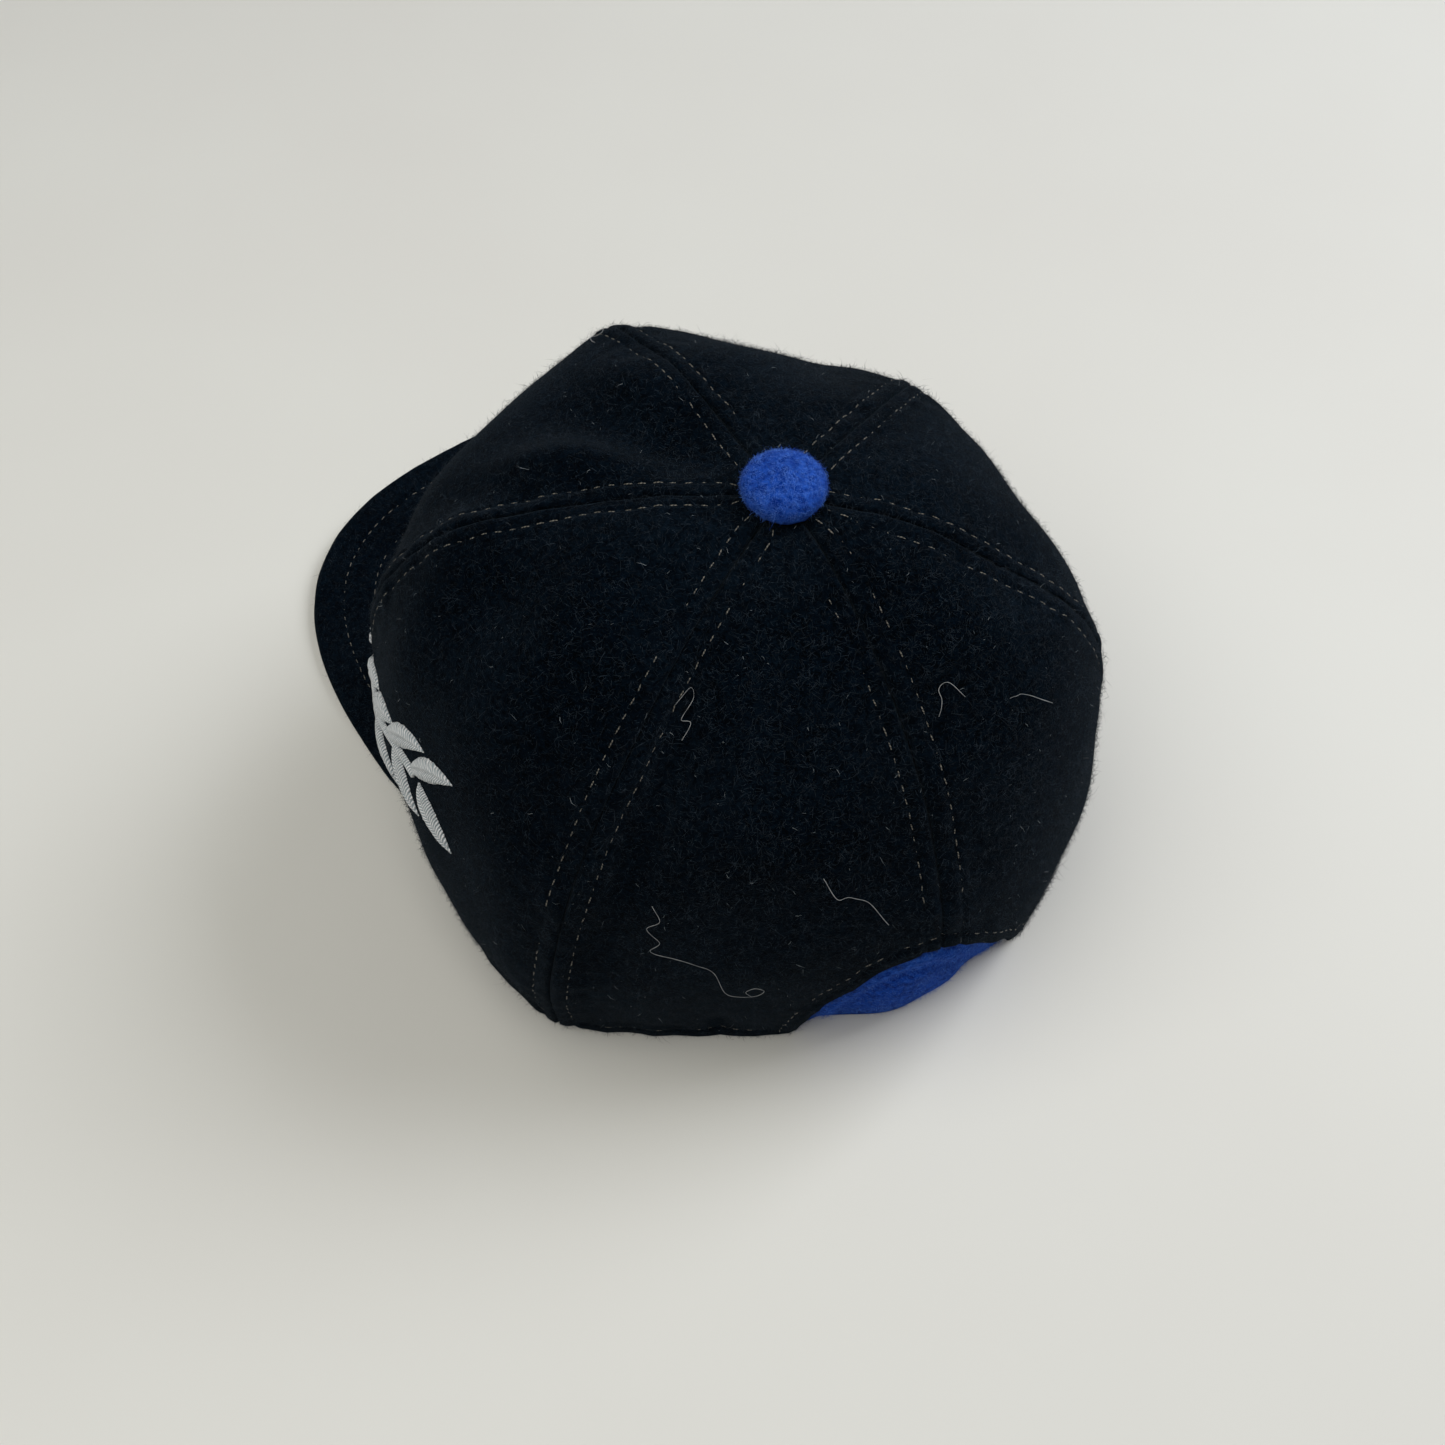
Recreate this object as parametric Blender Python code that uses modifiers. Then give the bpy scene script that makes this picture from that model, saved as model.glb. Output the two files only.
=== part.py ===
"""Six-panel wool cap with a curved peak, lying on its rim.

Metres, +Z up. The front of the cap faces -Y, so the wearer's left is +X. The table is z = 0.
The crown is a surface of two numbers: the place round the head, counted in seams from the front
seam towards the wearer's left, and the level down the crown, from 0 at the button to 1 at the rim.
"""

import math

import bmesh
import bpy
import numpy as np

# Crown
CROWN_HEIGHT = 0.131
CROWN_REACH = 0.095
BUTTON_LEAN_X = -0.0055
BUTTON_LEAN_Y = 0.014
HEAD_CENTRE_HEIGHT = 0.055
TIP_RADIUS = 0.005
SEAM_ROUNDING = 0.0055
DENT_DEPTH = 0.004

# Cloth and clearances
WOOL_THICKNESS = 0.0018
SEAM_GAP = 0.0006
FIT_GAP = 0.0004
HEM_FLATTENING = 0.0003

# Arch at the back seam, which is wider and straighter on the right, and the piece that fills it
ARCH_HEIGHT = 0.051
ARCH_LEFT_WIDTH = 0.0285
ARCH_RIGHT_WIDTH = 0.037
ARCH_LEFT_SQUARENESS = 2.0
ARCH_RIGHT_SQUARENESS = 1.4
INSERT_THICKNESS = 0.0016
INSERT_MARGIN = 0.007
INSERT_BELLY = 0.0015
INSERT_GAP = 0.0009

# Visor
VISOR_HALF_WIDTH = 0.0855
VISOR_TIP = 0.156
VISOR_WIDEST = 0.056
VISOR_ROOT = 0.038
VISOR_ROOT_NARROWING = 0.002
VISOR_ARCH = 0.006
VISOR_SQUARENESS = 2.9
VISOR_THICKNESS = 0.0032
VISOR_TUCK = 0.0030
VISOR_EDGE_ROUNDING = 0.0012
ROOT_CLEARANCE = 0.004
RIM_DROP = 0.015

# Button
BUTTON_RADIUS = 0.0098
BUTTON_HEIGHT = 0.0062
BUTTON_WAIST = 0.0016

# Each seam: how far it turns from the front towards the wearer's left, in degrees, at the button and
# at the rim; its reach at the rim and at its widest, as shares of CROWN_REACH; the height of its
# widest place, as a share of CROWN_HEIGHT; and how square its shoulder is, where 2 is an ellipse.
SEAMS = [
    # name, top turn, rim turn, rim reach, belly reach, belly level, squareness
    ("front", -6, -6, 1.01, 1.06, 0.42, 3.1),
    ("front_left", 54, 52, 0.94, 1.05, 0.47, 2.8),
    ("back_left", 114, 115, 1.00, 1.04, 0.22, 2.0),
    ("back", 176, 174, 1.00, 1.01, 0.28, 1.65),
    ("back_right", 216, 232, 1.04, 0.98, 0.32, 2.4),
    ("front_right", 284, 300, 0.93, 0.93, 0.33, 2.5),
]
BACK_SEAM = 3

# Each panel: its fullness at the button and at the rim, the rise of its arc between two seams as a
# share of the chord.
PANELS = [
    # name, top fullness, rim fullness
    ("panel_front_left", 0.00, 0.12),
    ("panel_side_left", 0.12, 0.12),
    ("panel_back_left", 0.035, 0.035),
    ("panel_back_right", 0.16, 0.16),
    ("panel_side_right", 0.06, 0.10),
    ("panel_front_right", 0.00, 0.115),
]

# Each dent or ridge: its place in seams and its level, its half-width and half-length as shares of
# CROWN_REACH, how far its line shifts round the head over its length, in seams, and its push out,
# as a share of DENT_DEPTH.
DENTS = [
    # place, level, half-width, half-length, shift, push
    (0.17, 0.27, 0.07, 0.20, 0.15, 0.45),
    (0.48, 0.22, 0.10, 0.30, 0.00, -0.70),
    (0.73, 0.23, 0.07, 0.30, 0.00, 0.45),
    (0.85, 0.36, 0.06, 0.20, -0.10, -0.40),
    (1.31, 0.37, 0.16, 0.24, -0.15, -0.80),
    (2.16, 0.46, 0.08, 0.38, 0.02, -0.95),
    (2.16, 0.76, 0.08, 0.28, -0.06, -0.60),
    (1.87, 0.74, 0.08, 0.30, 0.06, 0.45),
    (2.55, 0.60, 0.22, 0.30, 0.00, 0.30),
    (3.55, 0.55, 0.20, 0.34, 0.00, -0.30),
    (4.50, 0.50, 0.20, 0.36, 0.08, -0.45),
    (5.34, 0.38, 0.18, 0.30, 0.00, -0.50),
]

# Mesh steps
PANEL_COLUMNS = 14
ARCH_COLUMNS = 6
PANEL_ROWS = 20
VISOR_COLUMNS = 36
VISOR_ROWS = 7
BUTTON_SIDES = 28
PROFILE_SAMPLES = 241

BLACK_WOOL = ("black_wool", (0.010, 0.011, 0.014), 0.95)
BLUE_WOOL = ("blue_wool", (0.016, 0.065, 0.420), 0.95)


def seam_profile(rim, belly, belly_level, squareness):
    """Reach and height of one seam at even steps of its length, from the button to the rim.

    A quarter superellipse runs from the top down to the widest place, and a soft S-curve from there
    to the rim, where the wall stands upright.
    """
    low = belly_level * CROWN_HEIGHT
    bend = np.linspace(0, math.pi / 2, 90)
    fall = np.linspace(0, 1, 40)[1:]
    reach = CROWN_REACH * np.concatenate([
        belly * np.sin(bend) ** (2 / squareness),
        belly + (rim - belly) * (1 - np.cos(math.pi * fall)) / 2,
    ])
    height = np.concatenate([
        low + (CROWN_HEIGHT - low) * np.cos(bend) ** (2 / squareness),
        low * (1 - fall),
    ])
    run = np.concatenate([[0], np.cumsum(np.hypot(np.diff(reach), np.diff(height)))])
    even = np.linspace(0, run[-1], PROFILE_SAMPLES)
    return np.interp(even, run, reach), np.interp(even, run, height)


def seam_lines():
    """The six seams as point rows, seams x PROFILE_SAMPLES x 3."""
    levels = np.linspace(0, 1, PROFILE_SAMPLES)
    lines = []
    for _, top_turn, rim_turn, rim, belly, belly_level, squareness in SEAMS:
        reach, height = seam_profile(rim, belly, belly_level, squareness)
        turn = np.radians(rim_turn + (top_turn - rim_turn) * (1 - levels))
        up = height / CROWN_HEIGHT
        lines.append(np.stack([
            BUTTON_LEAN_X * up + reach * np.sin(turn),
            BUTTON_LEAN_Y * up - reach * np.cos(turn),
            height,
        ], axis=-1))
    return np.array(lines)


SEAM_LINES = seam_lines()
SEAM_LENGTH = float(np.linalg.norm(np.diff(SEAM_LINES, axis=1), axis=2).sum(axis=1).mean())


def on_seam(number, level):
    """The point of seam number, an array of whole numbers, at level."""
    step = np.clip(level, 0, 1) * (PROFILE_SAMPLES - 1)
    below = np.minimum(step.astype(int), PROFILE_SAMPLES - 2)
    share = (step - below)[..., None]
    number = number % len(SEAMS)
    return SEAM_LINES[number, below] * (1 - share) + SEAM_LINES[number, below + 1] * share


def chord_at(place, level):
    """The straight distance between the seams either side of a place, and their points."""
    number = np.floor(place).astype(int)
    first = on_seam(number, level)
    second = on_seam(number + 1, level)
    return np.linalg.norm(second - first, axis=-1), first, second


def away_from_head(points):
    """Unit directions away from the head's middle, level below its centre and fanning out above."""
    way = points.copy()
    way[..., 2] = np.maximum(points[..., 2] - HEAD_CENTRE_HEIGHT, 0)
    return way / np.maximum(np.linalg.norm(way, axis=-1, keepdims=True), 1e-9)


def sharp_crown(place, level):
    """A shallow parabola between each pair of seams, with a crease at every seam."""
    chord, first, second = chord_at(place, level)
    across = place - np.floor(place)
    ends = np.array([row[1:] for row in PANELS])[np.floor(place).astype(int) % len(PANELS)]
    fullness = ends[..., 0] + (ends[..., 1] - ends[..., 0]) * level
    straight = first + (second - first) * across[..., None]
    rise = 4 * across * (1 - across) * fullness * chord
    return straight + away_from_head((first + second) / 2) * rise[..., None]


def rim_lift(points):
    """How far the crown's edge stands above the table: over the visor by a clearance, else nothing."""
    turn = np.abs(np.arctan2(points[..., 0], -points[..., 1]))
    past_root = (turn - visor_root_turn()) * CROWN_REACH - ROOT_CLEARANCE
    past_root = np.clip(past_root / RIM_DROP, 0, 1)
    covered = 1 - past_root ** 2 * (3 - 2 * past_root)
    return covered * (visor_top(points[..., 0]) + FIT_GAP)


def dent_push(place, level):
    """The sum of soft, stretched bells, each one dent or ridge of the table."""
    chord, _, _ = chord_at(place, level)
    push = np.zeros(place.shape)
    for spot, down, half_width, half_length, shift, depth in DENTS:
        along = (level - down) * SEAM_LENGTH / (half_length * CROWN_REACH)
        middle = spot + shift * (level - down)
        off = (place - middle + len(SEAMS) / 2) % len(SEAMS) - len(SEAMS) / 2
        across = off * chord / (half_width * CROWN_REACH)
        push += depth * DENT_DEPTH * np.exp(-across ** 2 - along ** 2)
    return push


def crown(place, level):
    """The cap's outer surface: creases rounded over the seams, dented, and lifted over the visor."""
    place, level = np.broadcast_arrays(np.asarray(place, float), np.asarray(level, float))
    chord, _, _ = chord_at(place, level)
    reach = np.minimum(SEAM_ROUNDING / np.maximum(chord, 1e-6), 0.2)
    points = np.zeros(place.shape + (3,))
    for shift, weight in ((-1, 1 / 6), (-0.5, 1 / 6), (0, 1 / 3), (0.5, 1 / 6), (1, 1 / 6)):
        points += weight * sharp_crown(place + shift * reach, level)
    points += away_from_head(points) * dent_push(place, level)[..., None]
    fade = np.clip(1 - points[..., 2] / CROWN_HEIGHT, 0, 1) ** 3
    points[..., 2] += rim_lift(points) * fade
    return points


def outward_normals(points):
    """Unit normals of a grid of points, away from the head."""
    normal = np.cross(np.gradient(points, axis=0), np.gradient(points, axis=1))
    normal /= np.maximum(np.linalg.norm(normal, axis=-1, keepdims=True), 1e-12)
    facing = np.sign((normal * (points - [0, 0, HEAD_CENTRE_HEIGHT])).sum(axis=-1, keepdims=True))
    return normal * facing


def visor_top(x):
    """Height of the visor's upper face: an arch across the cap that meets the table at its sides."""
    return VISOR_THICKNESS + VISOR_ARCH * np.clip(1 - (x / VISOR_HALF_WIDTH) ** 2, 0, 1)


def visor_root_turn():
    return math.atan2(VISOR_HALF_WIDTH - VISOR_ROOT_NARROWING, VISOR_ROOT)


def level_at_height(height):
    """The level at which the back seam reaches a height."""
    line = SEAM_LINES[BACK_SEAM]
    return np.interp(height, line[::-1, 2], np.linspace(0, 1, PROFILE_SAMPLES)[::-1])


def arch_half(side):
    """Width and squareness of the arch: its left half where side is negative, else its right half."""
    width = np.where(side < 0, ARCH_LEFT_WIDTH, ARCH_RIGHT_WIDTH)
    return width, np.where(side < 0, ARCH_LEFT_SQUARENESS, ARCH_RIGHT_SQUARENESS)


def arch_edge(angle, side):
    """Place and level on one half of the arch, a superellipse from the rim, angle 0, to its top."""
    width, squareness = arch_half(side)
    level = level_at_height(ARCH_HEIGHT * np.sin(angle) ** (2 / squareness))
    chord, _, _ = chord_at(np.full(level.shape, BACK_SEAM + 0.5), level)
    return width * np.cos(angle) ** (2 / squareness) / chord, level


def close_at_ends(count):
    """Shares from 0 to 1 whose steps are short at both ends."""
    return (1 - np.cos(np.linspace(0, math.pi, count + 1))) / 2


def panel_grid(number):
    """Places and levels of one panel's points, from its tip under the button to its lower edge."""
    top = close_at_ends(PANEL_COLUMNS)
    low_place = number + top
    low_level = np.ones(PANEL_COLUMNS + 1)
    if number in (BACK_SEAM - 1, BACK_SEAM):
        angle = np.linspace(0, math.pi / 2, ARCH_COLUMNS + 1)
        off, level = arch_edge(angle, 1 if number == BACK_SEAM else -1)
        rim = (1 - np.cos(np.linspace(0, 0.8 * math.pi, PANEL_COLUMNS - ARCH_COLUMNS + 1))) / 2
        rim_shares = rim / rim[-1] * (1 - off[0])
        low_place = BACK_SEAM - 1 + np.concatenate([rim_shares, 1 - off[1:]])
        low_level = np.concatenate([np.ones(len(rim)), level[1:]])
        if number == BACK_SEAM:
            low_place = 2 * BACK_SEAM - low_place[::-1]
            low_level = low_level[::-1]
    down = np.linspace(0, 1, PANEL_ROWS + 1)[:, None]
    tip_level = TIP_RADIUS / SEAM_LENGTH
    level = tip_level + (low_level - tip_level) * down
    place = number + top + (low_place - number - top) * down ** 2
    chord, _, _ = chord_at(np.full(level.shape, number + 0.5), level)
    margin = SEAM_GAP / 2 / chord
    return number + margin + (1 - 2 * margin) * (place - number), level


def insert_grid():
    """Places and levels of the piece behind the arch, which reaches past the arch by a margin."""
    across = np.linspace(-1, 1, PANEL_COLUMNS + 1)[None, :]
    height = np.linspace(ARCH_HEIGHT + INSERT_MARGIN, 0, PANEL_ROWS // 2 + 1)[:, None]
    level = level_at_height(height) + 0 * across
    chord, _, _ = chord_at(np.full(level.shape, BACK_SEAM + 0.5), level)
    width, squareness = arch_half(across)
    off = across * (width + INSERT_MARGIN)
    inside = 1 - np.abs(off / width) ** squareness - (height / ARCH_HEIGHT) ** squareness
    return BACK_SEAM + off / chord, level, INSERT_BELLY * np.clip(inside, 0, 1) ** 2


def material(finish):
    name, colour, roughness = finish
    made = bpy.data.materials.get(name) or bpy.data.materials.new(name)
    made.use_nodes = True
    shader = made.node_tree.nodes["Principled BSDF"]
    shader.inputs["Base Color"].default_value = (*colour, 1)
    shader.inputs["Roughness"].default_value = roughness
    shader.inputs["Metallic"].default_value = 0
    made.diffuse_color = (*colour, 1)
    return made


def surface_mesh(name, points):
    """An open sheet through a grid of points, its faces turned away from the head."""
    rows, columns = points.shape[:2]
    number = np.arange(rows * columns).reshape(rows, columns)
    faces = np.stack([number[:-1, :-1], number[1:, :-1], number[1:, 1:], number[:-1, 1:]], axis=-1)
    mesh = bpy.data.meshes.new(name)
    mesh.from_pydata(points.reshape(-1, 3).tolist(), [], faces.reshape(-1, 4).tolist())
    return mesh


def shell(name, points, thickness, finish, collection, rounding=0.0):
    """A wall of cloth: the open sheet, thickened inwards, with its hem pressed flat on the table."""
    guide = bpy.data.objects.new(name + "_sheet", surface_mesh(name, points))
    collection.objects.link(guide)
    solidify = guide.modifiers.new("wall", "SOLIDIFY")
    solidify.thickness = thickness
    solidify.offset = -1
    solidify.use_even_offset = False
    if rounding:
        bevel = guide.modifiers.new("edge", "BEVEL")
        bevel.width = rounding
        bevel.segments = 2
        bevel.limit_method = "ANGLE"
        bevel.angle_limit = math.radians(50)
    bpy.context.view_layer.update()
    mesh = bpy.data.meshes.new_from_object(guide.evaluated_get(bpy.context.evaluated_depsgraph_get()))
    bpy.data.objects.remove(guide)
    mesh.name = name
    for vertex in mesh.vertices:
        if abs(vertex.co.z) < HEM_FLATTENING:
            vertex.co.z = 0
    return finished(name, mesh, finish, collection)


def finished(name, mesh, finish, collection):
    work = bmesh.new()
    work.from_mesh(mesh)
    bmesh.ops.recalc_face_normals(work, faces=work.faces)
    work.to_mesh(mesh)
    work.free()
    mesh.materials.clear()
    mesh.materials.append(material(finish))
    mesh.shade_smooth()
    mesh.set_sharp_from_angle(angle=math.radians(40))
    made = bpy.data.objects.new(name, mesh)
    collection.objects.link(made)
    return made


def visor_points():
    """The visor's upper face, ruled from the crown's rim to the visor's outer edge.

    That edge is half a superellipse round the front, and two nearly straight sides back to the roots.
    """
    turn = np.linspace(-1, 1, VISOR_COLUMNS + 1) * visor_root_turn()
    rim = crown_rim_at_turn(turn)
    out = rim / np.linalg.norm(rim, axis=-1, keepdims=True)
    inner = rim - out * VISOR_TUCK
    fine = np.linspace(-math.pi / 2, math.pi / 2, 721)
    bow = 2 / VISOR_SQUARENESS
    edge_x = VISOR_HALF_WIDTH * np.sign(fine) * np.abs(np.sin(fine)) ** bow
    edge_y = -VISOR_WIDEST - (VISOR_TIP - VISOR_WIDEST) * np.abs(np.cos(fine)) ** bow
    root_x = VISOR_HALF_WIDTH - VISOR_ROOT_NARROWING
    edge_x = np.concatenate([[-root_x], edge_x, [root_x]])
    edge_y = np.concatenate([[-VISOR_ROOT], edge_y, [-VISOR_ROOT]])
    run = np.concatenate([[0], np.cumsum(np.hypot(np.diff(edge_x), np.diff(edge_y)))])
    even = np.linspace(0, run[-1], VISOR_COLUMNS + 1)
    outer = np.stack([np.interp(even, run, edge_x), np.interp(even, run, edge_y)], axis=-1)
    share = close_at_ends(VISOR_ROWS)[:, None, None]
    plan = inner + (outer - inner) * share
    return np.concatenate([plan, visor_top(plan[..., :1])], axis=-1)


def crown_rim_at_turn(turn):
    """Plan points of the crown's rim at turns from the front, towards the wearer's left."""
    places = np.linspace(-1.6, 1.6, 641)
    rim = crown(places, np.ones(places.shape))
    turns = np.arctan2(rim[:, 0], -rim[:, 1])
    return np.stack([np.interp(turn, turns, rim[:, 0]), np.interp(turn, turns, rim[:, 1])], axis=-1)


def make_panels(collection):
    for number, (name, _, _) in enumerate(PANELS):
        place, level = panel_grid(number)
        shell(name, crown(place, level), WOOL_THICKNESS, BLACK_WOOL, collection)


def make_insert(collection):
    place, level, belly = insert_grid()
    points = crown(place, level)
    depth = WOOL_THICKNESS + INSERT_GAP - belly
    inner = points - outward_normals(points) * depth[..., None]
    inner[-1, :, 2] = 0
    shell("back_insert", inner, INSERT_THICKNESS, BLUE_WOOL, collection)


def make_visor(collection):
    shell("visor", visor_points(), VISOR_THICKNESS, BLACK_WOOL, collection, VISOR_EDGE_ROUNDING)


def make_button(collection):
    """A covered dome turned round the crown's own axis, seated over the tips of the panels."""
    angle = np.linspace(math.pi / 2, 0, 9)
    dome = [(BUTTON_RADIUS * math.cos(a), BUTTON_WAIST + (BUTTON_HEIGHT - BUTTON_WAIST) * math.sin(a))
            for a in angle]
    profile = dome + [(BUTTON_RADIUS - BUTTON_WAIST / 2, BUTTON_WAIST / 4), (0.82 * BUTTON_RADIUS, 0), (0, 0)]
    mesh = bpy.data.meshes.new("button")
    mesh.from_pydata([(r, 0, z) for r, z in profile], [(i, i + 1) for i in range(len(profile) - 1)], [])
    guide = bpy.data.objects.new("button_profile", mesh)
    collection.objects.link(guide)
    screw = guide.modifiers.new("turn", "SCREW")
    screw.steps = BUTTON_SIDES
    screw.render_steps = BUTTON_SIDES
    screw.use_merge_vertices = True
    screw.merge_threshold = 0.00001
    bpy.context.view_layer.update()
    turned = bpy.data.meshes.new_from_object(guide.evaluated_get(bpy.context.evaluated_depsgraph_get()))
    bpy.data.objects.remove(guide)
    button = finished("button", turned, BLUE_WOOL, collection)
    button.location = (BUTTON_LEAN_X, BUTTON_LEAN_Y, button_seat())


def button_seat():
    """The height that clears the crown under the button."""
    places = np.linspace(0, len(SEAMS), 121)[:, None]
    levels = np.linspace(0, 1.2 * BUTTON_RADIUS / SEAM_LENGTH, 9)[None, :]
    return float(crown(places, levels)[..., 2].max()) + FIT_GAP


def centre_over_origin(collection):
    """Moves the cap level, so that the middle of its box stands over the origin."""
    bpy.context.view_layer.update()
    corners = np.array([made.matrix_world @ vertex.co for made in collection.objects for vertex in made.data.vertices])
    middle = (corners.min(axis=0) + corners.max(axis=0)) / 2
    for made in collection.objects:
        made.location.x -= middle[0]
        made.location.y -= middle[1]


def main():
    for old in list(bpy.data.objects):
        bpy.data.objects.remove(old)
    collection = bpy.data.collections.new("wool_cap")
    bpy.context.scene.collection.children.link(collection)
    make_panels(collection)
    make_insert(collection)
    make_visor(collection)
    make_button(collection)
    centre_over_origin(collection)


main()
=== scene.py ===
# %% [markdown]
# # A six-panel wool cap
# The real cap is sewn from six gores of black wool felt, a stiff visor covered in the same wool, a
# covered button of blue wool on top and a blue piece behind the arch at the back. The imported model
# gives its solids. This script dresses each solid with a finer surface of the same shape, and adds
# what a solid can't hold: seams that sink in, rows of stitches, nap, loose threads and needlework.

import math

import bmesh
import bpy
import numpy as np
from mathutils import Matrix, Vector


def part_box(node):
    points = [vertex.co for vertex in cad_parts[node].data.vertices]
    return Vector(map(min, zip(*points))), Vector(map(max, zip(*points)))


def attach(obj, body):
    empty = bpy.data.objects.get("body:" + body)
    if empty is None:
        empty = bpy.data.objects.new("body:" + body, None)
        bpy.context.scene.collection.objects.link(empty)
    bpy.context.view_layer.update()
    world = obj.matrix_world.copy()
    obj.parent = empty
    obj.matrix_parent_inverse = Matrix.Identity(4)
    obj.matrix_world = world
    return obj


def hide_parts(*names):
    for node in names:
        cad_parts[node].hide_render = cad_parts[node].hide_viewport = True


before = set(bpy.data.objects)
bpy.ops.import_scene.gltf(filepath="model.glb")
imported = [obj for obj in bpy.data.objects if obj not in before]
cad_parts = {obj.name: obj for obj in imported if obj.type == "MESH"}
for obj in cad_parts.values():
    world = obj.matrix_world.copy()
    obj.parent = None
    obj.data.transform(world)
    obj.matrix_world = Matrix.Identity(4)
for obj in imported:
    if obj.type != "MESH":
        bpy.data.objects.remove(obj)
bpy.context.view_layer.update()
MM = 0.001

# %% [markdown]
# ## The crown as a surface of two numbers
# A soft cap could be sculpted by hand, but its seams, stitches and nap all have to follow the same
# cloth. So the crown is one function of two numbers: the place round the head, counted in seams
# from the front seam towards the wearer's left, and the level, 0 at the button and 1 at the rim.
# The sizes below are the ones that the solids were made from.

# %% Sizes and tables of the crown
CROWN_HEIGHT = 0.131
CROWN_REACH = 0.095
BUTTON_LEAN_X = -0.0055
BUTTON_LEAN_Y = 0.014
HEAD_CENTRE_HEIGHT = 0.055
TIP_RADIUS = 0.005
SEAM_ROUNDING = 0.0098
DENT_DEPTH = 0.004
WOOL_THICKNESS = 0.0018
FIT_GAP = 0.0004
ARCH_HEIGHT = 0.051
ARCH_LEFT_WIDTH = 0.0285
ARCH_RIGHT_WIDTH = 0.037
ARCH_LEFT_SQUARENESS = 2.0
ARCH_RIGHT_SQUARENESS = 1.4
VISOR_HALF_WIDTH = 0.0855
VISOR_TIP = 0.156
VISOR_WIDEST = 0.056
VISOR_ROOT = 0.038
VISOR_ROOT_NARROWING = 0.002
VISOR_ARCH = 0.006
VISOR_SQUARENESS = 2.9
VISOR_THICKNESS = 0.0032
VISOR_TUCK = 0.0030
ROOT_CLEARANCE = 0.004
RIM_DROP = 0.015
PROFILE_SAMPLES = 241
WIDEST_ROUNDING = 0.36
ROUNDING_TAPS = 9
NORMAL_STEP = 0.004

SEAMS = [
    # name, top turn, rim turn, rim reach, belly reach, belly level, squareness
    ("front", -6, -6, 1.01, 1.06, 0.42, 3.1),
    ("front_left", 54, 52, 0.94, 1.05, 0.47, 2.8),
    ("back_left", 114, 115, 1.00, 1.04, 0.22, 2.0),
    ("back", 176, 174, 1.00, 1.01, 0.28, 1.65),
    ("back_right", 216, 232, 1.04, 0.98, 0.32, 2.4),
    ("front_right", 284, 300, 0.93, 0.93, 0.33, 2.5),
]
BACK_SEAM = 3

PANELS = [
    # name, top fullness, rim fullness
    ("panel_front_left", 0.00, 0.12),
    ("panel_side_left", 0.12, 0.12),
    ("panel_back_left", 0.035, 0.035),
    ("panel_back_right", 0.16, 0.16),
    ("panel_side_right", 0.06, 0.10),
    ("panel_front_right", 0.00, 0.115),
]

DENTS = [
    # place, level, half-width, half-length, shift, push
    (0.17, 0.27, 0.07, 0.20, 0.15, 0.45),
    (0.48, 0.22, 0.10, 0.30, 0.00, -0.70),
    (0.73, 0.23, 0.07, 0.30, 0.00, 0.45),
    (0.85, 0.36, 0.06, 0.20, -0.10, -0.40),
    (1.31, 0.37, 0.16, 0.24, -0.15, -0.80),
    (2.16, 0.46, 0.08, 0.38, 0.02, -0.95),
    (2.16, 0.76, 0.08, 0.28, -0.06, -0.60),
    (1.87, 0.74, 0.08, 0.30, 0.06, 0.45),
    (2.55, 0.60, 0.22, 0.30, 0.00, 0.30),
    (3.55, 0.55, 0.20, 0.34, 0.00, -0.30),
    (4.50, 0.50, 0.20, 0.36, 0.08, -0.45),
    (5.34, 0.38, 0.18, 0.30, 0.00, -0.50),
]
print("panels:", len(PANELS), "dents and ridges:", len(DENTS))


# %% Seam lines
def unit(vectors):
    """The same directions, each one long."""
    return vectors / np.maximum(np.linalg.norm(vectors, axis=-1, keepdims=True), 1e-12)


def seam_profile(rim, belly, belly_level, squareness):
    """Reach and height down one seam: a quarter superellipse, then a soft S-curve to the rim."""
    low = belly_level * CROWN_HEIGHT
    bend = np.linspace(0, math.pi / 2, 90)
    fall = np.linspace(0, 1, 40)[1:]
    reach = CROWN_REACH * np.concatenate([
        belly * np.sin(bend) ** (2 / squareness),
        belly + (rim - belly) * (1 - np.cos(math.pi * fall)) / 2,
    ])
    height = np.concatenate([
        low + (CROWN_HEIGHT - low) * np.cos(bend) ** (2 / squareness),
        low * (1 - fall),
    ])
    run = np.concatenate([[0], np.cumsum(np.hypot(np.diff(reach), np.diff(height)))])
    even = np.linspace(0, run[-1], PROFILE_SAMPLES)
    return np.interp(even, run, reach), np.interp(even, run, height)


def seam_lines():
    """The six seams as rows of points, each turning a little round the head as it falls."""
    levels = np.linspace(0, 1, PROFILE_SAMPLES)
    lines = []
    for _, top_turn, rim_turn, rim, belly, belly_level, squareness in SEAMS:
        reach, height = seam_profile(rim, belly, belly_level, squareness)
        turn = np.radians(rim_turn + (top_turn - rim_turn) * (1 - levels))
        up = height / CROWN_HEIGHT
        lines.append(np.stack([
            BUTTON_LEAN_X * up + reach * np.sin(turn),
            BUTTON_LEAN_Y * up - reach * np.cos(turn),
            height,
        ], axis=-1))
    return np.array(lines)


SEAM_LINES = seam_lines()
SEAM_LENGTH = float(np.linalg.norm(np.diff(SEAM_LINES, axis=1), axis=2).sum(axis=1).mean())
print("mean seam length, mm:", round(SEAM_LENGTH / MM, 1))


def on_seam(number, level):
    """The point of seam number, an array of whole numbers, at level: linear between samples."""
    step = np.clip(level, 0, 1) * (PROFILE_SAMPLES - 1)
    below = np.minimum(step.astype(int), PROFILE_SAMPLES - 2)
    share = (step - below)[..., None]
    number = number % len(SEAMS)
    return SEAM_LINES[number, below] * (1 - share) + SEAM_LINES[number, below + 1] * share


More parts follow.
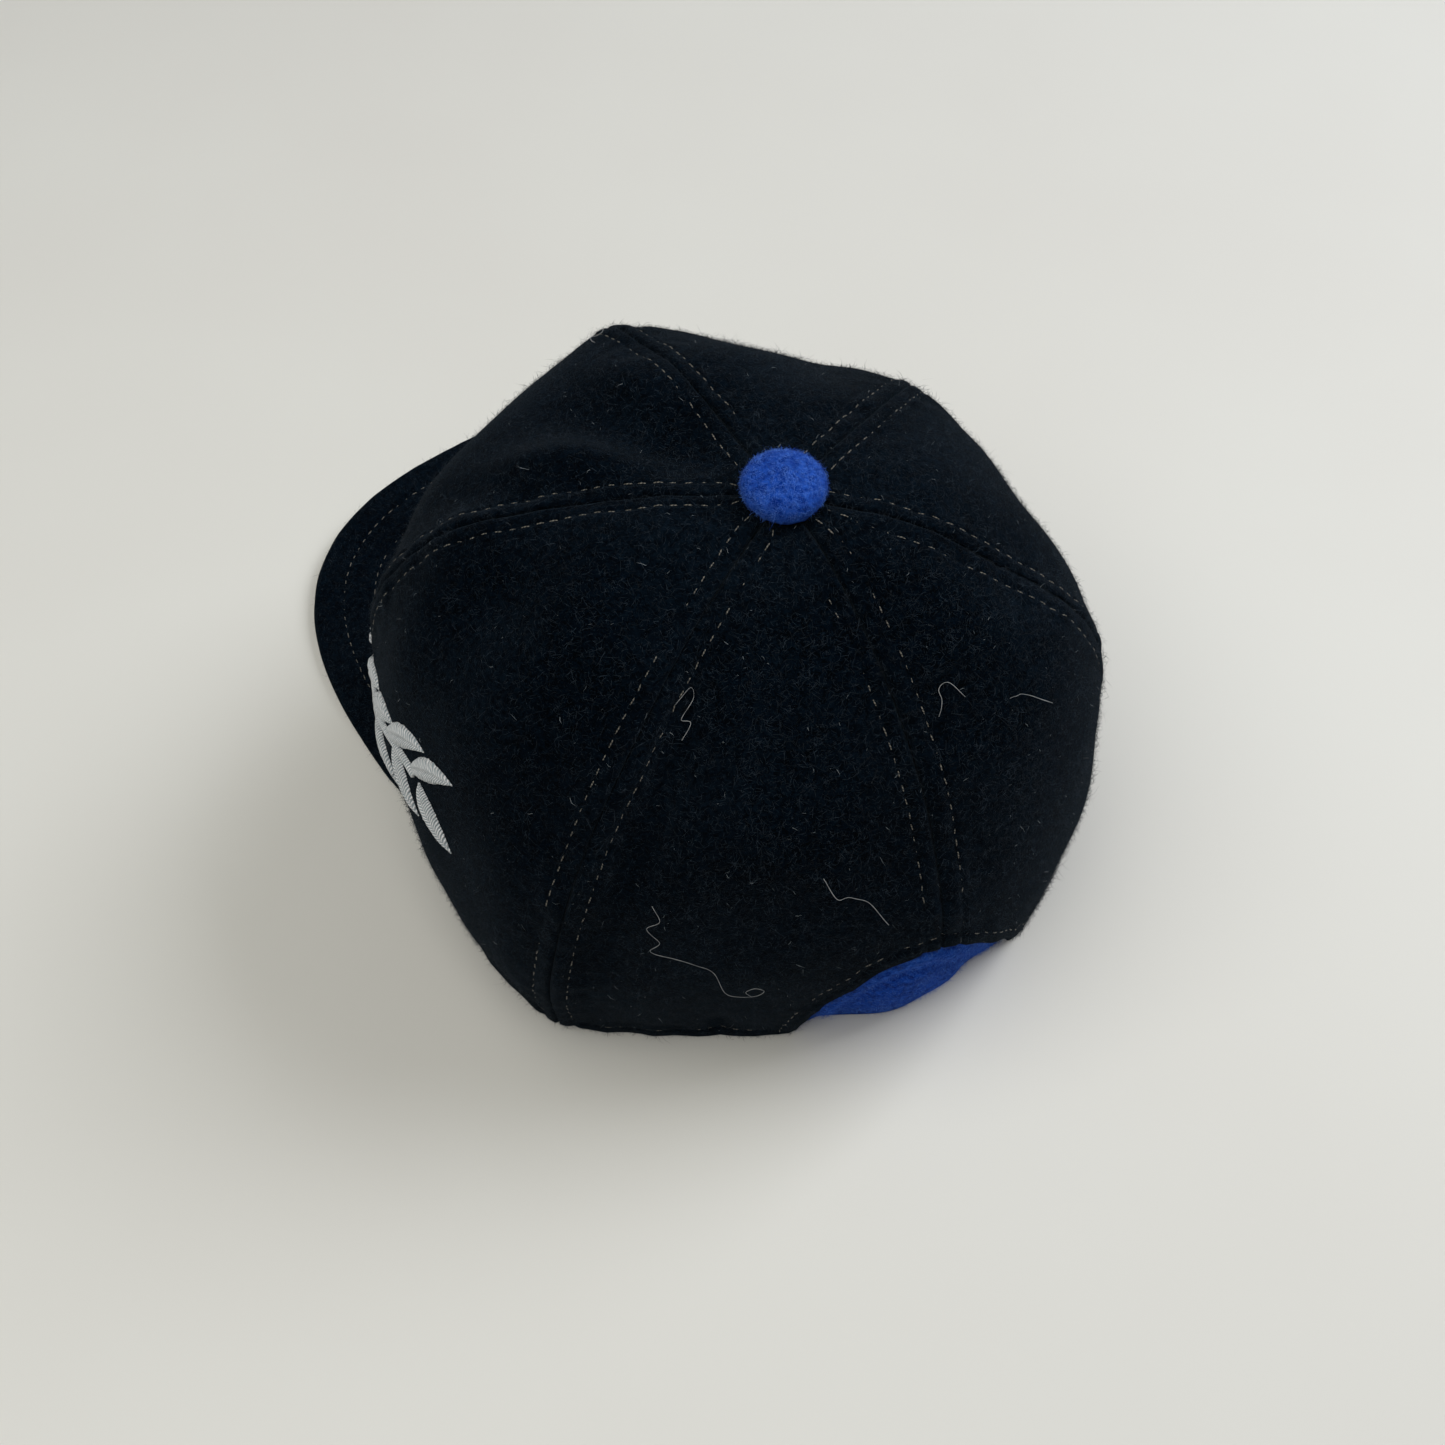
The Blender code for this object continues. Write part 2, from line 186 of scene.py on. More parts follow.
def chord_at(place, level):
    """The straight distance between the seams either side of a place, and their points."""
    number = np.floor(place).astype(int)
    first = on_seam(number, level)
    second = on_seam(number + 1, level)
    return np.linalg.norm(second - first, axis=-1), first, second


def gore_width(number, level):
    """The straight distance across one gore at an array of levels."""
    return chord_at(np.full(np.shape(level), number + 0.5), level)[0]


def places_from(place, spot):
    """How many seams a place lies past a spot, the shorter way round the head."""
    return (place - spot + len(SEAMS) / 2) % len(SEAMS) - len(SEAMS) / 2


def level_at_height(height):
    """The level at which the back seam reaches a height."""
    line = SEAM_LINES[BACK_SEAM]
    return np.interp(height, line[::-1, 2], np.linspace(0, 1, PROFILE_SAMPLES)[::-1])


# %% The crown's surface
def away_from_head(points):
    """Unit directions away from the head's middle, level below its centre and fanning out above."""
    way = points.copy()
    way[..., 2] = np.maximum(points[..., 2] - HEAD_CENTRE_HEIGHT, 0)
    return unit(way)


def sharp_crown(place, level):
    """A shallow parabola between each pair of seams, with a crease at every seam."""
    chord, first, second = chord_at(place, level)
    across = place - np.floor(place)
    ends = np.array([row[1:] for row in PANELS])[np.floor(place).astype(int) % len(PANELS)]
    fullness = ends[..., 0] + (ends[..., 1] - ends[..., 0]) * level
    straight = first + (second - first) * across[..., None]
    rise = 4 * across * (1 - across) * fullness * chord
    return straight + away_from_head((first + second) / 2) * rise[..., None]


def visor_top(x):
    """Height of the visor's upper face: an arch across the cap that meets the table at its sides."""
    return VISOR_THICKNESS + VISOR_ARCH * np.clip(1 - (x / VISOR_HALF_WIDTH) ** 2, 0, 1)


def visor_root_turn():
    """The turn from the front at which the visor's side meets the crown."""
    return math.atan2(VISOR_HALF_WIDTH - VISOR_ROOT_NARROWING, VISOR_ROOT)


def smooth(share):
    """An S-curve from 0 to 1: three squares less two cubes."""
    share = np.clip(share, 0, 1)
    return share ** 2 * (3 - 2 * share)


def rim_lift(points):
    """How far the crown's edge stands above the table: over the visor by a clearance, else nothing."""
    turn = np.abs(np.arctan2(points[..., 0], -points[..., 1]))
    past_root = (turn - visor_root_turn()) * CROWN_REACH - ROOT_CLEARANCE
    return (1 - smooth(past_root / RIM_DROP)) * (visor_top(points[..., 0]) + FIT_GAP)


def bells(place, level, rows, unit):
    """The sum of soft, stretched bells, each one dent or ridge of a table."""
    chord, _, _ = chord_at(place, level)
    push = np.zeros(place.shape)
    for spot, down, half_width, half_length, shift, depth in rows:
        along = (level - down) * SEAM_LENGTH / (half_length * CROWN_REACH)
        off = places_from(place, spot + shift * (level - down))
        across = off * chord / (half_width * CROWN_REACH)
        push += depth * unit * np.exp(-across ** 2 - along ** 2)
    return push


def crown(place, level):
    """The smooth cap: creases averaged over the seams, dented, and lifted over the visor."""
    place, level = np.broadcast_arrays(np.asarray(place, float), np.asarray(level, float))
    chord, _, _ = chord_at(place, level)
    reach = np.minimum(SEAM_ROUNDING / np.maximum(chord, 1e-6), WIDEST_ROUNDING)
    taps = np.linspace(-0.8, 0.8, ROUNDING_TAPS)
    weights = (1 + np.cos(math.pi * taps)) / 2
    points = np.zeros(place.shape + (3,))
    for shift, weight in zip(taps, weights / weights.sum()):
        points += weight * sharp_crown(place + shift * reach, level)
    points += away_from_head(points) * bells(place, level, DENTS, DENT_DEPTH)[..., None]
    fade = np.clip(1 - points[..., 2] / CROWN_HEIGHT, 0, 1) ** 3
    points[..., 2] += rim_lift(points) * fade
    return points


def crown_normals(place, level):
    """Unit normals away from the head: the way down crossed with the way round."""
    step = NORMAL_STEP
    down = crown(place, level + step) - crown(place, level - step)
    round_head = crown(place + step, level) - crown(place - step, level)
    return unit(np.cross(down, round_head))


button_low, button_high = (np.array(corner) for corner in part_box("button"))
CAP_PLACE = (button_low + button_high) / 2 - [BUTTON_LEAN_X, BUTTON_LEAN_Y, 0]
CAP_PLACE[2] = 0
print("the crown stands at, mm:", np.round(CAP_PLACE / MM, 2))

# %% [markdown]
# ## Needlework in the cloth
# Where two gores meet, both edges roll down into a groove. The turned-in cloth lies under the wool on
# either side and lifts it a little, and a row of stitches 4.5 mm from the groove pulls it down again.
# A texture could fake this, but a real shape catches the light and shows at the outline. So the
# distance from the nearest seam and from the hem drives a small relief.

# %% Distances on the cloth
STITCH_ROW = 4.5 * MM
HEM_ROW = 5.0 * MM
TURN_IN = 7.0 * MM


def to_seam(place, level):
    """Distance to the nearest seam, measured straight across the gore."""
    chord, _, _ = chord_at(place, level)
    across = place - np.floor(place)
    return np.minimum(across, 1 - across) * chord


def arch_half(side):
    """Width and squareness of one half of the arch: the left one where side is negative."""
    return (np.where(side < 0, ARCH_LEFT_WIDTH, ARCH_RIGHT_WIDTH),
            np.where(side < 0, ARCH_LEFT_SQUARENESS, ARCH_RIGHT_SQUARENESS))


def arch_size(off, height):
    """1 on the arch and more outside it: a superellipse of the offset and the height, and its slope."""
    width, power = arch_half(off)
    wide = np.maximum(np.abs(off) / width, 1e-6)
    tall = np.maximum(height / ARCH_HEIGHT, 1e-6)
    size = (wide ** power + tall ** power) ** (1 / power)
    slope = np.hypot((wide / size) ** (power - 1) / width, (tall / size) ** (power - 1) / ARCH_HEIGHT)
    return size, slope


def to_hem(place, level):
    """Distance to the cloth's lower edge: the rim, or the arch."""
    above_rim = (1 - level) * SEAM_LENGTH
    off = places_from(place, BACK_SEAM)
    chord, _, _ = chord_at(place, level)
    height = np.interp(level, np.linspace(0, 1, PROFILE_SAMPLES), SEAM_LINES[BACK_SEAM][:, 2])
    size, slope = arch_size(off * chord, height)
    return np.where(np.abs(off) < 1, np.minimum(above_rim, (size - 1) / slope), above_rim)


# %% Relief of the cloth
ROLL_RADIUS = 1.5 * MM
TURN_IN_RISE = 0.5 * MM
STITCH_PULL = 0.5 * MM
STITCH_PULL_WIDTH = 0.95 * MM
PUCKER = 0.34 * MM
PUCKER_LENGTH = 9 * MM
SLACK = 0.75 * MM
SLACK_LENGTH = 34 * MM
SINES = 14

FOLDS = [
    # place, level, half-width, half-length, shift, push
    (0.20, 0.30, 0.08, 0.12, 0.10, 0.9),
    (0.45, 0.28, 0.10, 0.16, 0.08, -1.7),
    (0.74, 0.26, 0.06, 0.18, 0.02, 0.9),
    (0.93, 0.34, 0.04, 0.22, 0.00, -0.6),
    (1.30, 0.40, 0.08, 0.14, 0.10, -0.9),
    (2.15, 0.34, 0.05, 0.20, 0.03, -2.1),
    (2.11, 0.64, 0.05, 0.34, -0.03, -2.3),
    (2.46, 0.96, 0.035, 0.12, 0.02, -6.0),
    (2.27, 0.50, 0.06, 0.30, 0.05, 0.5),
    (1.90, 0.80, 0.05, 0.22, 0.04, 0.6),
    (2.42, 0.90, 0.10, 0.16, 0.00, -0.6),
    (2.62, 0.92, 0.08, 0.16, 0.00, 0.5),
    (4.20, 0.55, 0.08, 0.30, 0.05, 0.7),
    (4.75, 0.45, 0.07, 0.26, -0.05, -0.7),
    (5.30, 0.40, 0.07, 0.26, 0.05, -0.6),
    (5.75, 0.50, 0.08, 0.24, 0.00, 0.5),
    (3.30, 0.35, 0.08, 0.24, 0.05, -0.4),
]
print("folds:", len(FOLDS))


def waves(points, length, seed):
    """Soft, uneven hills between about -1 and 1: a sum of sines along random directions."""
    draw = np.random.default_rng(seed)
    total = np.zeros(points.shape[:-1])
    for _ in range(SINES):
        way = draw.normal(size=3)
        way *= 2 * math.pi / (length * draw.uniform(0.7, 1.5) * np.linalg.norm(way))
        total += np.sin(points @ way + draw.uniform(0, 2 * math.pi))
    return total / math.sqrt(SINES / 2) / 1.6


def rolled(edge, radius):
    """How far a rolled edge falls: a quarter circle over the last radius of cloth."""
    inside = np.clip(1 - edge / radius, 0, 1)
    return radius * (1 - np.sqrt(1 - inside ** 2))


def drape(place, level, points):
    """Slack in the whole wall: the folds, and hills that fade out at the rim and under the button."""
    calm = smooth(level / 0.12) * smooth((1.03 - level) / 0.2)
    hills = waves(points, SLACK_LENGTH, 3) * SLACK * calm
    return hills + bells(place, level, FOLDS, MM) * calm


def needlework(place, level, points):
    """Rolled edges, the rise over turned-in cloth, and the pull of each row of stitches."""
    seam = to_seam(place, level)
    hem = to_hem(place, level)
    rise = TURN_IN_RISE * np.maximum(
        1 - smooth((seam - STITCH_ROW) / (TURN_IN - STITCH_ROW)),
        1 - smooth((hem - HEM_ROW) / (TURN_IN - HEM_ROW)),
    )
    pull = STITCH_PULL * np.maximum(
        np.exp(-((seam - STITCH_ROW) / STITCH_PULL_WIDTH) ** 2),
        np.exp(-((hem - HEM_ROW) / STITCH_PULL_WIDTH) ** 2),
    )
    near_row = np.exp(-((np.minimum(seam, hem) - STITCH_ROW) / (0.8 * PUCKER_LENGTH)) ** 2)
    pucker = PUCKER * waves(points, PUCKER_LENGTH, 5) * near_row
    return rise - pull + pucker - rolled(np.minimum(seam, hem), ROLL_RADIUS)


def skin(place, level, lift=0.0):
    """Points on the cloth's finished face, raised by lift along its normals, and those normals."""
    place, level = np.broadcast_arrays(np.asarray(place, float), np.asarray(level, float))
    points = crown(place, level)
    normal = crown_normals(place, level)
    height = drape(place, level, points) + needlework(place, level, points) + lift
    return points + normal * height[..., None], normal


# %% [markdown]
# ## Putting arrays into meshes
# Every piece is an array of points and an array of faces. A wall of cloth is a grid for its outer
# face, the same grid again for its inner face with the faces turned round, and a strip round the
# border that joins the two, so it is closed like the real cloth.

# %% Mesh helpers
def grid_faces(rows, columns, start=0, closed=False):
    """Four-sided faces of a grid, turned outwards when rows run down and columns run leftwards."""
    number = start + np.arange(rows * columns).reshape(rows, columns)
    if closed:
        number = np.concatenate([number, number[:, :1]], axis=1)
    corners = [number[:-1, :-1], number[1:, :-1], number[1:, 1:], number[:-1, 1:]]
    return np.stack(corners, axis=-1).reshape(-1, 4)


def put_in_place(name, points, faces, finish, uv=None):
    """One finished piece: its mesh, its material, and the body that carries it."""
    above_table = np.maximum(points, [-np.inf, -np.inf, 0.0])
    mesh = bpy.data.meshes.new(name)
    rows = [face for block in faces for face in block.tolist()]
    mesh.from_pydata((above_table.reshape(-1, 3) + CAP_PLACE).tolist(), [], rows)
    mesh.materials.append(finish)
    mesh.shade_smooth()
    if uv is not None:
        corner = np.empty(len(mesh.loops), dtype=np.int32)
        mesh.loops.foreach_get("vertex_index", corner)
        layer = mesh.uv_layers.new(name="cloth")
        layer.data.foreach_set("uv", uv.reshape(-1, 2)[corner].ravel().astype(np.float32))
    piece = bpy.data.objects.new(name, mesh)
    bpy.context.scene.collection.objects.link(piece)
    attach(piece, "root")
    return piece


def wall(name, outer, inner, finish, uv=None):
    """Closed walls between pairs of grids of points, one pair or many of the same size."""
    rows, columns = outer.shape[-3:-1]
    count = rows * columns
    number = np.arange(count).reshape(rows, columns)
    border = np.concatenate([number[0, :-1], number[:-1, -1], number[-1, :0:-1], number[:0:-1, 0]])
    after = np.roll(border, -1)
    strip = np.stack([border, after, after + count, border + count], axis=-1)
    back = grid_faces(rows, columns, count)[:, ::-1]
    one = np.concatenate([grid_faces(rows, columns), back, strip])
    pairs = np.stack([outer.reshape(-1, count, 3), inner.reshape(-1, count, 3)], axis=1)
    start = 2 * count * np.arange(len(pairs))[:, None, None]
    if uv is not None:
        uv = uv.reshape(-1, count, 2)
        uv = np.stack([uv, uv], axis=1)
    return put_in_place(name, pairs, [(one + start).reshape(-1, 4)], finish, uv)


def along_path(points):
    """Length run along a row of points, from 0."""
    return np.concatenate([[0], np.cumsum(np.linalg.norm(np.diff(points, axis=0), axis=1))])


def read_off(at, run, rows):
    """Rows of numbers known at the distances run, read off at others: linear between samples."""
    return np.stack([np.interp(at, run, column) for column in rows.T], axis=-1)


def triangles(piece):
    """How many triangles a piece's faces make."""
    piece.data.calc_loop_triangles()
    return len(piece.data.loop_triangles)


# %% [markdown]
# ## Finishes
# Wool felt is milled until its fibres tangle into a soft mat. It scatters light from the fibre tips,
# so it looks paler at a glancing angle, and it never shines. Black wool soaks up nearly all light and
# still shows grey where the nap stands up. The pattern is made of stretched noise laid in several
# directions, as the fibres lie.

# %% Colour and node helpers
def linear(code):
    """An sRGB hex colour as linear RGBA: the standard curve with its short straight foot."""
    parts = [int(code[i:i + 2], 16) / 255 for i in (1, 3, 5)]
    return (*[p / 12.92 if p <= 0.04045 else ((p + 0.055) / 1.055) ** 2.4 for p in parts], 1)


def add_node(tree, kind, settings=None, links=None):
    """Adds a node, sets its properties and sockets by name or number, and links its inputs."""
    node = tree.nodes.new(kind)
    for key, value in (settings or {}).items():
        if isinstance(key, str) and hasattr(node, key) and key not in node.inputs:
            setattr(node, key, value)
        else:
            node.inputs[key].default_value = value
    for key, socket in (links or {}).items():
        tree.links.new(socket, node.inputs[key])
    return node


def new_finish(name, roughness, specular, sheen=0.0, sheen_roughness=0.5, tint="#FFFFFF"):
    """A material with one Principled shader, whose plain numbers sit on its own sockets."""
    finish = bpy.data.materials.new(name)
    finish.use_nodes = True
    shader = finish.node_tree.nodes["Principled BSDF"]
    settings = {
        "Roughness": roughness, "Specular IOR Level": specular, "Sheen Weight": sheen,
        "Sheen Roughness": sheen_roughness, "Sheen Tint": linear(tint),
    }
    for key, value in settings.items():
        shader.inputs[key].default_value = value
    return finish, finish.node_tree, shader


def place_in_mm(tree):
    """The object's own coordinates, in millimetres."""
    place = add_node(tree, "ShaderNodeTexCoord").outputs["Object"]
    to_mm = {"Scale": (1 / MM, 1 / MM, 1 / MM)}
    return add_node(tree, "ShaderNodeMapping", to_mm, {"Vector": place}).outputs[0]


def noise(tree, place, scale, detail, roughness=0.5, distortion=0.0):
    """Fractal noise at a place, as one number."""
    return add_node(tree, "ShaderNodeTexNoise", {
        "Scale": scale, "Detail": detail, "Roughness": roughness, "Distortion": distortion,
    }, {"Vector": place}).outputs[0]


def fibre_noise(tree, place, per_mm, stretch, turn):
    """Noise drawn out along one direction, like a lock of fibres lying that way."""
    turned = add_node(tree, "ShaderNodeMapping", {"Rotation": turn}, {"Vector": place})
    drawn = add_node(tree, "ShaderNodeMapping",
                     {"Scale": (per_mm, per_mm / stretch, per_mm)}, {"Vector": turned.outputs[0]})
    return noise(tree, drawn.outputs[0], 1.0, 2.0, 0.6, 1.2)


def calculated(tree, operation, *values):
    """One arithmetic node of numbers and sockets, as one number."""
    settings = {"operation": operation}
    settings.update({i: value for i, value in enumerate(values) if isinstance(value, float)})
    links = {i: value for i, value in enumerate(values) if not isinstance(value, float)}
    return add_node(tree, "ShaderNodeMath", settings, links).outputs[0]


def colour_and_bump(tree, shader, colour, height, strength, depth):
    """Wires a colour and a bump of a height, up to a depth in metres, to the shader."""
    bump = add_node(tree, "ShaderNodeBump", {"Strength": strength, "Distance": depth},
                    {"Height": height})
    tree.links.new(colour, shader.inputs["Base Color"])
    tree.links.new(bump.outputs[0], shader.inputs["Normal"])


def stretched_range(tree, socket, low, high, to_low=0.0, to_high=1.0):
    """Maps low..high to another range and holds it there."""
    made = add_node(tree, "ShaderNodeMapRange",
                    {"From Min": low, "From Max": high, "To Min": to_low, "To Max": to_high},
                    {"Value": socket})
    return made.outputs[0]


def mixed(tree, factor, first, second):
    """A colour between two, each a hex code or a socket."""
    settings = {"data_type": "RGBA"}
    links = {0: factor}
    for key, colour in ((6, first), (7, second)):
        if isinstance(colour, str):
            settings[key] = linear(colour)
        else:
            links[key] = colour
    return add_node(tree, "ShaderNodeMix", settings, links).outputs[2]


# %% Wool felt
# The nap is milled wool: fibres about 0.03 mm thick, drawn here as locks 0.5 mm wide so that they
# show at the picture's scale of 0.3 mm to a pixel, clumps of 1.7 mm, and brushed patches of 30 mm.
LOCK_MM = 0.5
CLUMP_MM = 1.7
PATCH_MM = 30.0
LOCK_TURNS = ((0.3, 0.5, 0.4), (1.2, -0.4, 1.7), (-0.5, 1.1, 2.6))


def wool_felt(name, deep, body, tip, glow, sheen, nap_depth):
    """Matt felt: clumps and locks of fibre in both colour and bump, and pale patches of raised nap."""
    finish, tree, shader = new_finish(name, 1.0, 0.02, sheen, 0.36, glow)
    place = place_in_mm(tree)
    patches = noise(tree, place, 1 / PATCH_MM, 3.0, 0.55)
    clumps = noise(tree, place, 1 / CLUMP_MM, 4.0, 0.7, 0.6)
    locks = [fibre_noise(tree, place, 1 / LOCK_MM, 5.0, turn) for turn in LOCK_TURNS]
    highest = calculated(tree, "MAXIMUM", calculated(tree, "MAXIMUM", locks[0], locks[1]), locks[2])
    clump_share = stretched_range(tree, clumps, 0.40, 0.64)
    patch_share = stretched_range(tree, patches, 0.40, 0.70, 0.0, 0.35)
    lock_share = stretched_range(tree, highest, 0.60, 0.80, 0.0, 0.9)
    colour = mixed(tree, clump_share, deep, body)
    colour = mixed(tree, lock_share, colour, tip)
    brushed = mixed(tree, patch_share, colour, mixed(tree, clump_share, body, tip))
    height = calculated(tree, "MULTIPLY_ADD", clumps, 0.55, highest)
    colour_and_bump(tree, shader, brushed, height, 0.75, nap_depth)
    return finish


black_felt = wool_felt("black_wool_felt", "#010306", "#020A13", "#15202A", "#8BA0B2", 0.095, 0.6 * MM)
blue_felt = wool_felt("blue_wool_felt", "#03226F", "#1145AC", "#4E80DA", "#86AAF0", 0.16, 0.7 * MM)
print("felts:", black_felt.name, blue_felt.name)


# %% Wool fibres and lint
# Single fibres stand off the felt. Each is a thin ribbon, a little paler than the mat, because
# light passes round it.
def plain_fibre(name, colour, roughness, sheen):
    """One colour with a slow change of shade along and between the fibres."""
    finish, tree, shader = new_finish(name, roughness, 0.25, sheen, 0.5, colour[1])
    share = stretched_range(tree, noise(tree, place_in_mm(tree), 0.35, 2.0), 0.3, 0.7)
    tree.links.new(mixed(tree, share, *colour), shader.inputs["Base Color"])
    return finish


black_fibre = plain_fibre("black_wool_fibre", ("#03070C", "#2B3640"), 0.9, 0.04)
blue_fibre = plain_fibre("blue_wool_fibre", ("#0B369A", "#5C8CE4"), 0.9, 0.08)
lint_fibre = plain_fibre("cotton_lint", ("#7D8083", "#B9BCBC"), 0.8, 0.2)
dust_fibre = plain_fibre("cotton_dust", ("#3C4349", "#98A0A4"), 0.9, 0.05)
print("fibres:", black_fibre.name, blue_fibre.name, lint_fibre.name, dust_fibre.name)


# %% Sewing threads
# Spun polyester thread, two plies twisted: the eye sees slanting bands of light along each stitch.
# They are painted: painted shade in the grooves between the plies, the thread's own colour on them.
def twisted_thread(name, painted_groove_shade, light, pitch_mm, slant, depth, roughness):
    """Bands across a thread, from its UV (v along, u across, in mm): painted shade in the ply grooves.
    """
    finish, tree, shader = new_finish(name, roughness, 0.4, 0.3, 0.4, light)
    place = add_node(tree, "ShaderNodeUVMap", {"uv_map": "cloth"}).outputs[0]
    slanted = add_node(tree, "ShaderNodeMapping", {"Rotation": (0, 0, slant)}, {"Vector": place})
    bands = add_node(tree, "ShaderNodeTexWave", {
        "wave_type": "BANDS", "bands_direction": "Y", "wave_profile": "SIN",
        "Scale": 2 * math.pi / (20 * pitch_mm), "Distortion": 0.9, "Detail": 2.0, "Detail Scale": 1.2,
    }, {"Vector": slanted.outputs[0]}).outputs[1]
    share = stretched_range(tree, bands, 0.05, 0.85)
    tone = stretched_range(tree, noise(tree, place, 0.9, 2.0), 0.35, 0.7, 0.55, 1.0)
    factor = calculated(tree, "MULTIPLY", share, tone)
    # The colour runs from painted shade in the grooves up to the thread's own colour on the plies.
    colour_and_bump(tree, shader, mixed(tree, factor, painted_groove_shade, light), bands, 0.8, depth)
    return finish


# First colour: painted shade between the plies; second: the thread's own colour.
seam_thread = twisted_thread("polyester_topstitch_thread", "#2E2D29", "#8A867B",
                             0.7, 0.5, 0.08 * MM, 0.6)
satin_thread = twisted_thread("white_satin_stitch_thread", "#97A5AB", "#FFFFFF",
                              0.75, 0.0, 0.35 * MM, 0.4)
print("sewing threads:", seam_thread.name, satin_thread.name)

# %% [markdown]
# ## The six gores
# Each gore is cut flat, narrow at the top and wide at the rim, and takes its shape from its seams.
# The two at the back are cut away along the arch. Cloth simulation could relax such a panel, but
# the photograph's dents have to land in their places, so the folds are put into the surface itself.
# Columns and rows of the grid stand close together near the seams and the hem, where the relief is
# fine.

# %% The gores' grids
VISUAL_SEAM_GAP = 0.12 * MM
FINE_STEPS = MM * np.array([
    0, 0.10, 0.26, 0.46, 0.70, 1.0, 1.35, 1.8, 2.35, 2.95, 3.45, 3.85, 4.2, 4.5, 4.8, 5.15,
    5.6, 6.2, 6.9, 7.8, 9.0, 10.5,
])
MIDDLE_COLUMNS = 36
MIDDLE_ROWS = 112
ARCH_SAMPLES = 120
RIM_SAMPLES = 60
GORE_UV_WIDTH = 100


def spread(length, middle_steps):
    """Distances from 0 to length: fine steps at both ends, even ones between."""
    scale = np.minimum(1, 0.42 * length / FINE_STEPS[-1])[..., None]
    start = FINE_STEPS * scale
    inner = np.linspace(0, 1, middle_steps + 1)[1:-1]
    middle = start[..., -1:] + (length[..., None] - 2 * start[..., -1:]) * inner
    return np.concatenate([start, middle, length[..., None] - start[..., ::-1]], axis=-1)


def arch_edge(angle, side, grow=0.0):
    """Place off the back seam, and level, on one half of the arch grown by a margin; 0 is the rim."""
    width, squareness = arch_half(side)
    level = level_at_height((ARCH_HEIGHT + grow) * np.sin(angle) ** (2 / squareness))
    return (width + grow) * np.cos(angle) ** (2 / squareness) / gore_width(BACK_SEAM, level), level


def lower_edge(number, columns):
    """Place and level along a gore's lower edge: the rim, and at the back the arch up to its top."""
    if number not in (BACK_SEAM - 1, BACK_SEAM):
        length = gore_width(number, np.array([1.0]))
        return number + spread(length, MIDDLE_COLUMNS)[0] / length, np.ones(columns)
    angle = np.linspace(0, math.pi / 2, ARCH_SAMPLES)
    off, level = arch_edge(angle, 1 if number == BACK_SEAM else -1)
    rim = np.linspace(0, 1 - off[0], RIM_SAMPLES)[:-1]
    place = BACK_SEAM - 1 + np.concatenate([rim, 1 - off])
    level = np.concatenate([np.ones(len(rim)), level])
    run = along_path(crown(place, level))
    even = spread(run[-1:], MIDDLE_COLUMNS)[0]
    place, level = np.interp(even, run, place), np.interp(even, run, level)
    if number == BACK_SEAM:
        place, level = 2 * BACK_SEAM - place[::-1], level[::-1]
    return place, level


def gore_grid(number):
    """Places and levels of one gore, from its tip under the button to its lower edge."""
    columns = 2 * len(FINE_STEPS) + MIDDLE_COLUMNS - 1
    low_place, low_level = lower_edge(number, columns)
    down = spread(np.array([SEAM_LENGTH]), MIDDLE_ROWS)[0] / SEAM_LENGTH
    down = down[len(FINE_STEPS) - 4:]
    down = (down - down[0]) / (down[-1] - down[0])
    tip_level = TIP_RADIUS / SEAM_LENGTH
    level = tip_level + (low_level[None, :] - tip_level) * down[:, None]
    chord = gore_width(number, level.mean(axis=1))
    top = spread(chord, MIDDLE_COLUMNS) / chord[:, None]
    place = number + top + (low_place[None, :] - number - top) * (down[:, None] ** 2)
    margin = VISUAL_SEAM_GAP / 2 / gore_width(number, level)
    return number + margin + (1 - 2 * margin) * (place - number), level


# %% Make the gores
# Each gore's cut: about 100 mm wide and 205 mm long, and two thirds of that rectangle in area.
for number, (name, _, _) in enumerate(PANELS):
    place, level = gore_grid(number)
    smooth_wall = crown(place, level)
    normal = crown_normals(place, level)
    slack = drape(place, level, smooth_wall)[..., None]
    outer, _ = skin(place, level)
    inner = smooth_wall + normal * (slack - WOOL_THICKNESS)
    inner[-1, :, 2] = np.maximum(inner[-1, :, 2], 0)
    outer[-1, :, 2] = np.maximum(outer[-1, :, 2], 0)
    uv = np.stack([(place - number) * GORE_UV_WIDTH, level * SEAM_LENGTH / MM], axis=-1)
    gore = wall(name + "_wool", outer, inner, black_felt, uv)
    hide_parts(name)
    print(gore.name, triangles(gore), "triangles")

# %% [markdown]
# ## The blue piece at the back
# A piece of the same felt in blue closes the arch from inside. It is seen only within the arch, so
# it reaches just past the edge, and it bellies out a little where it is free. A soft fold follows
# the arch's edge on the left half and fades towards the rim.

# %% Make the blue back piece
INSERT_THICKNESS = 1.6 * MM
INSERT_MARGIN = 7 * MM
INSERT_BELLY = 1.5 * MM
INSERT_GAP = 0.9 * MM
INSERT_ROLL = 1.4 * MM
INSERT_ROLL_AT = 6 * MM
INSERT_FURROW = 1.5 * MM
INSERT_FURROW_AT = 13 * MM
INSERT_ROLL_WIDTH = 3.5 * MM
INSERT_ROLL_END = 6 * MM
INSERT_CREASE = 0.2 * MM
INSERT_CREASE_LENGTH = 18 * MM
INSERT_TUCK = 2.4 * MM
INSERT_TUCK_HEIGHT = 14 * MM
INSERT_ROWS = 90
INSERT_COLUMNS = 110


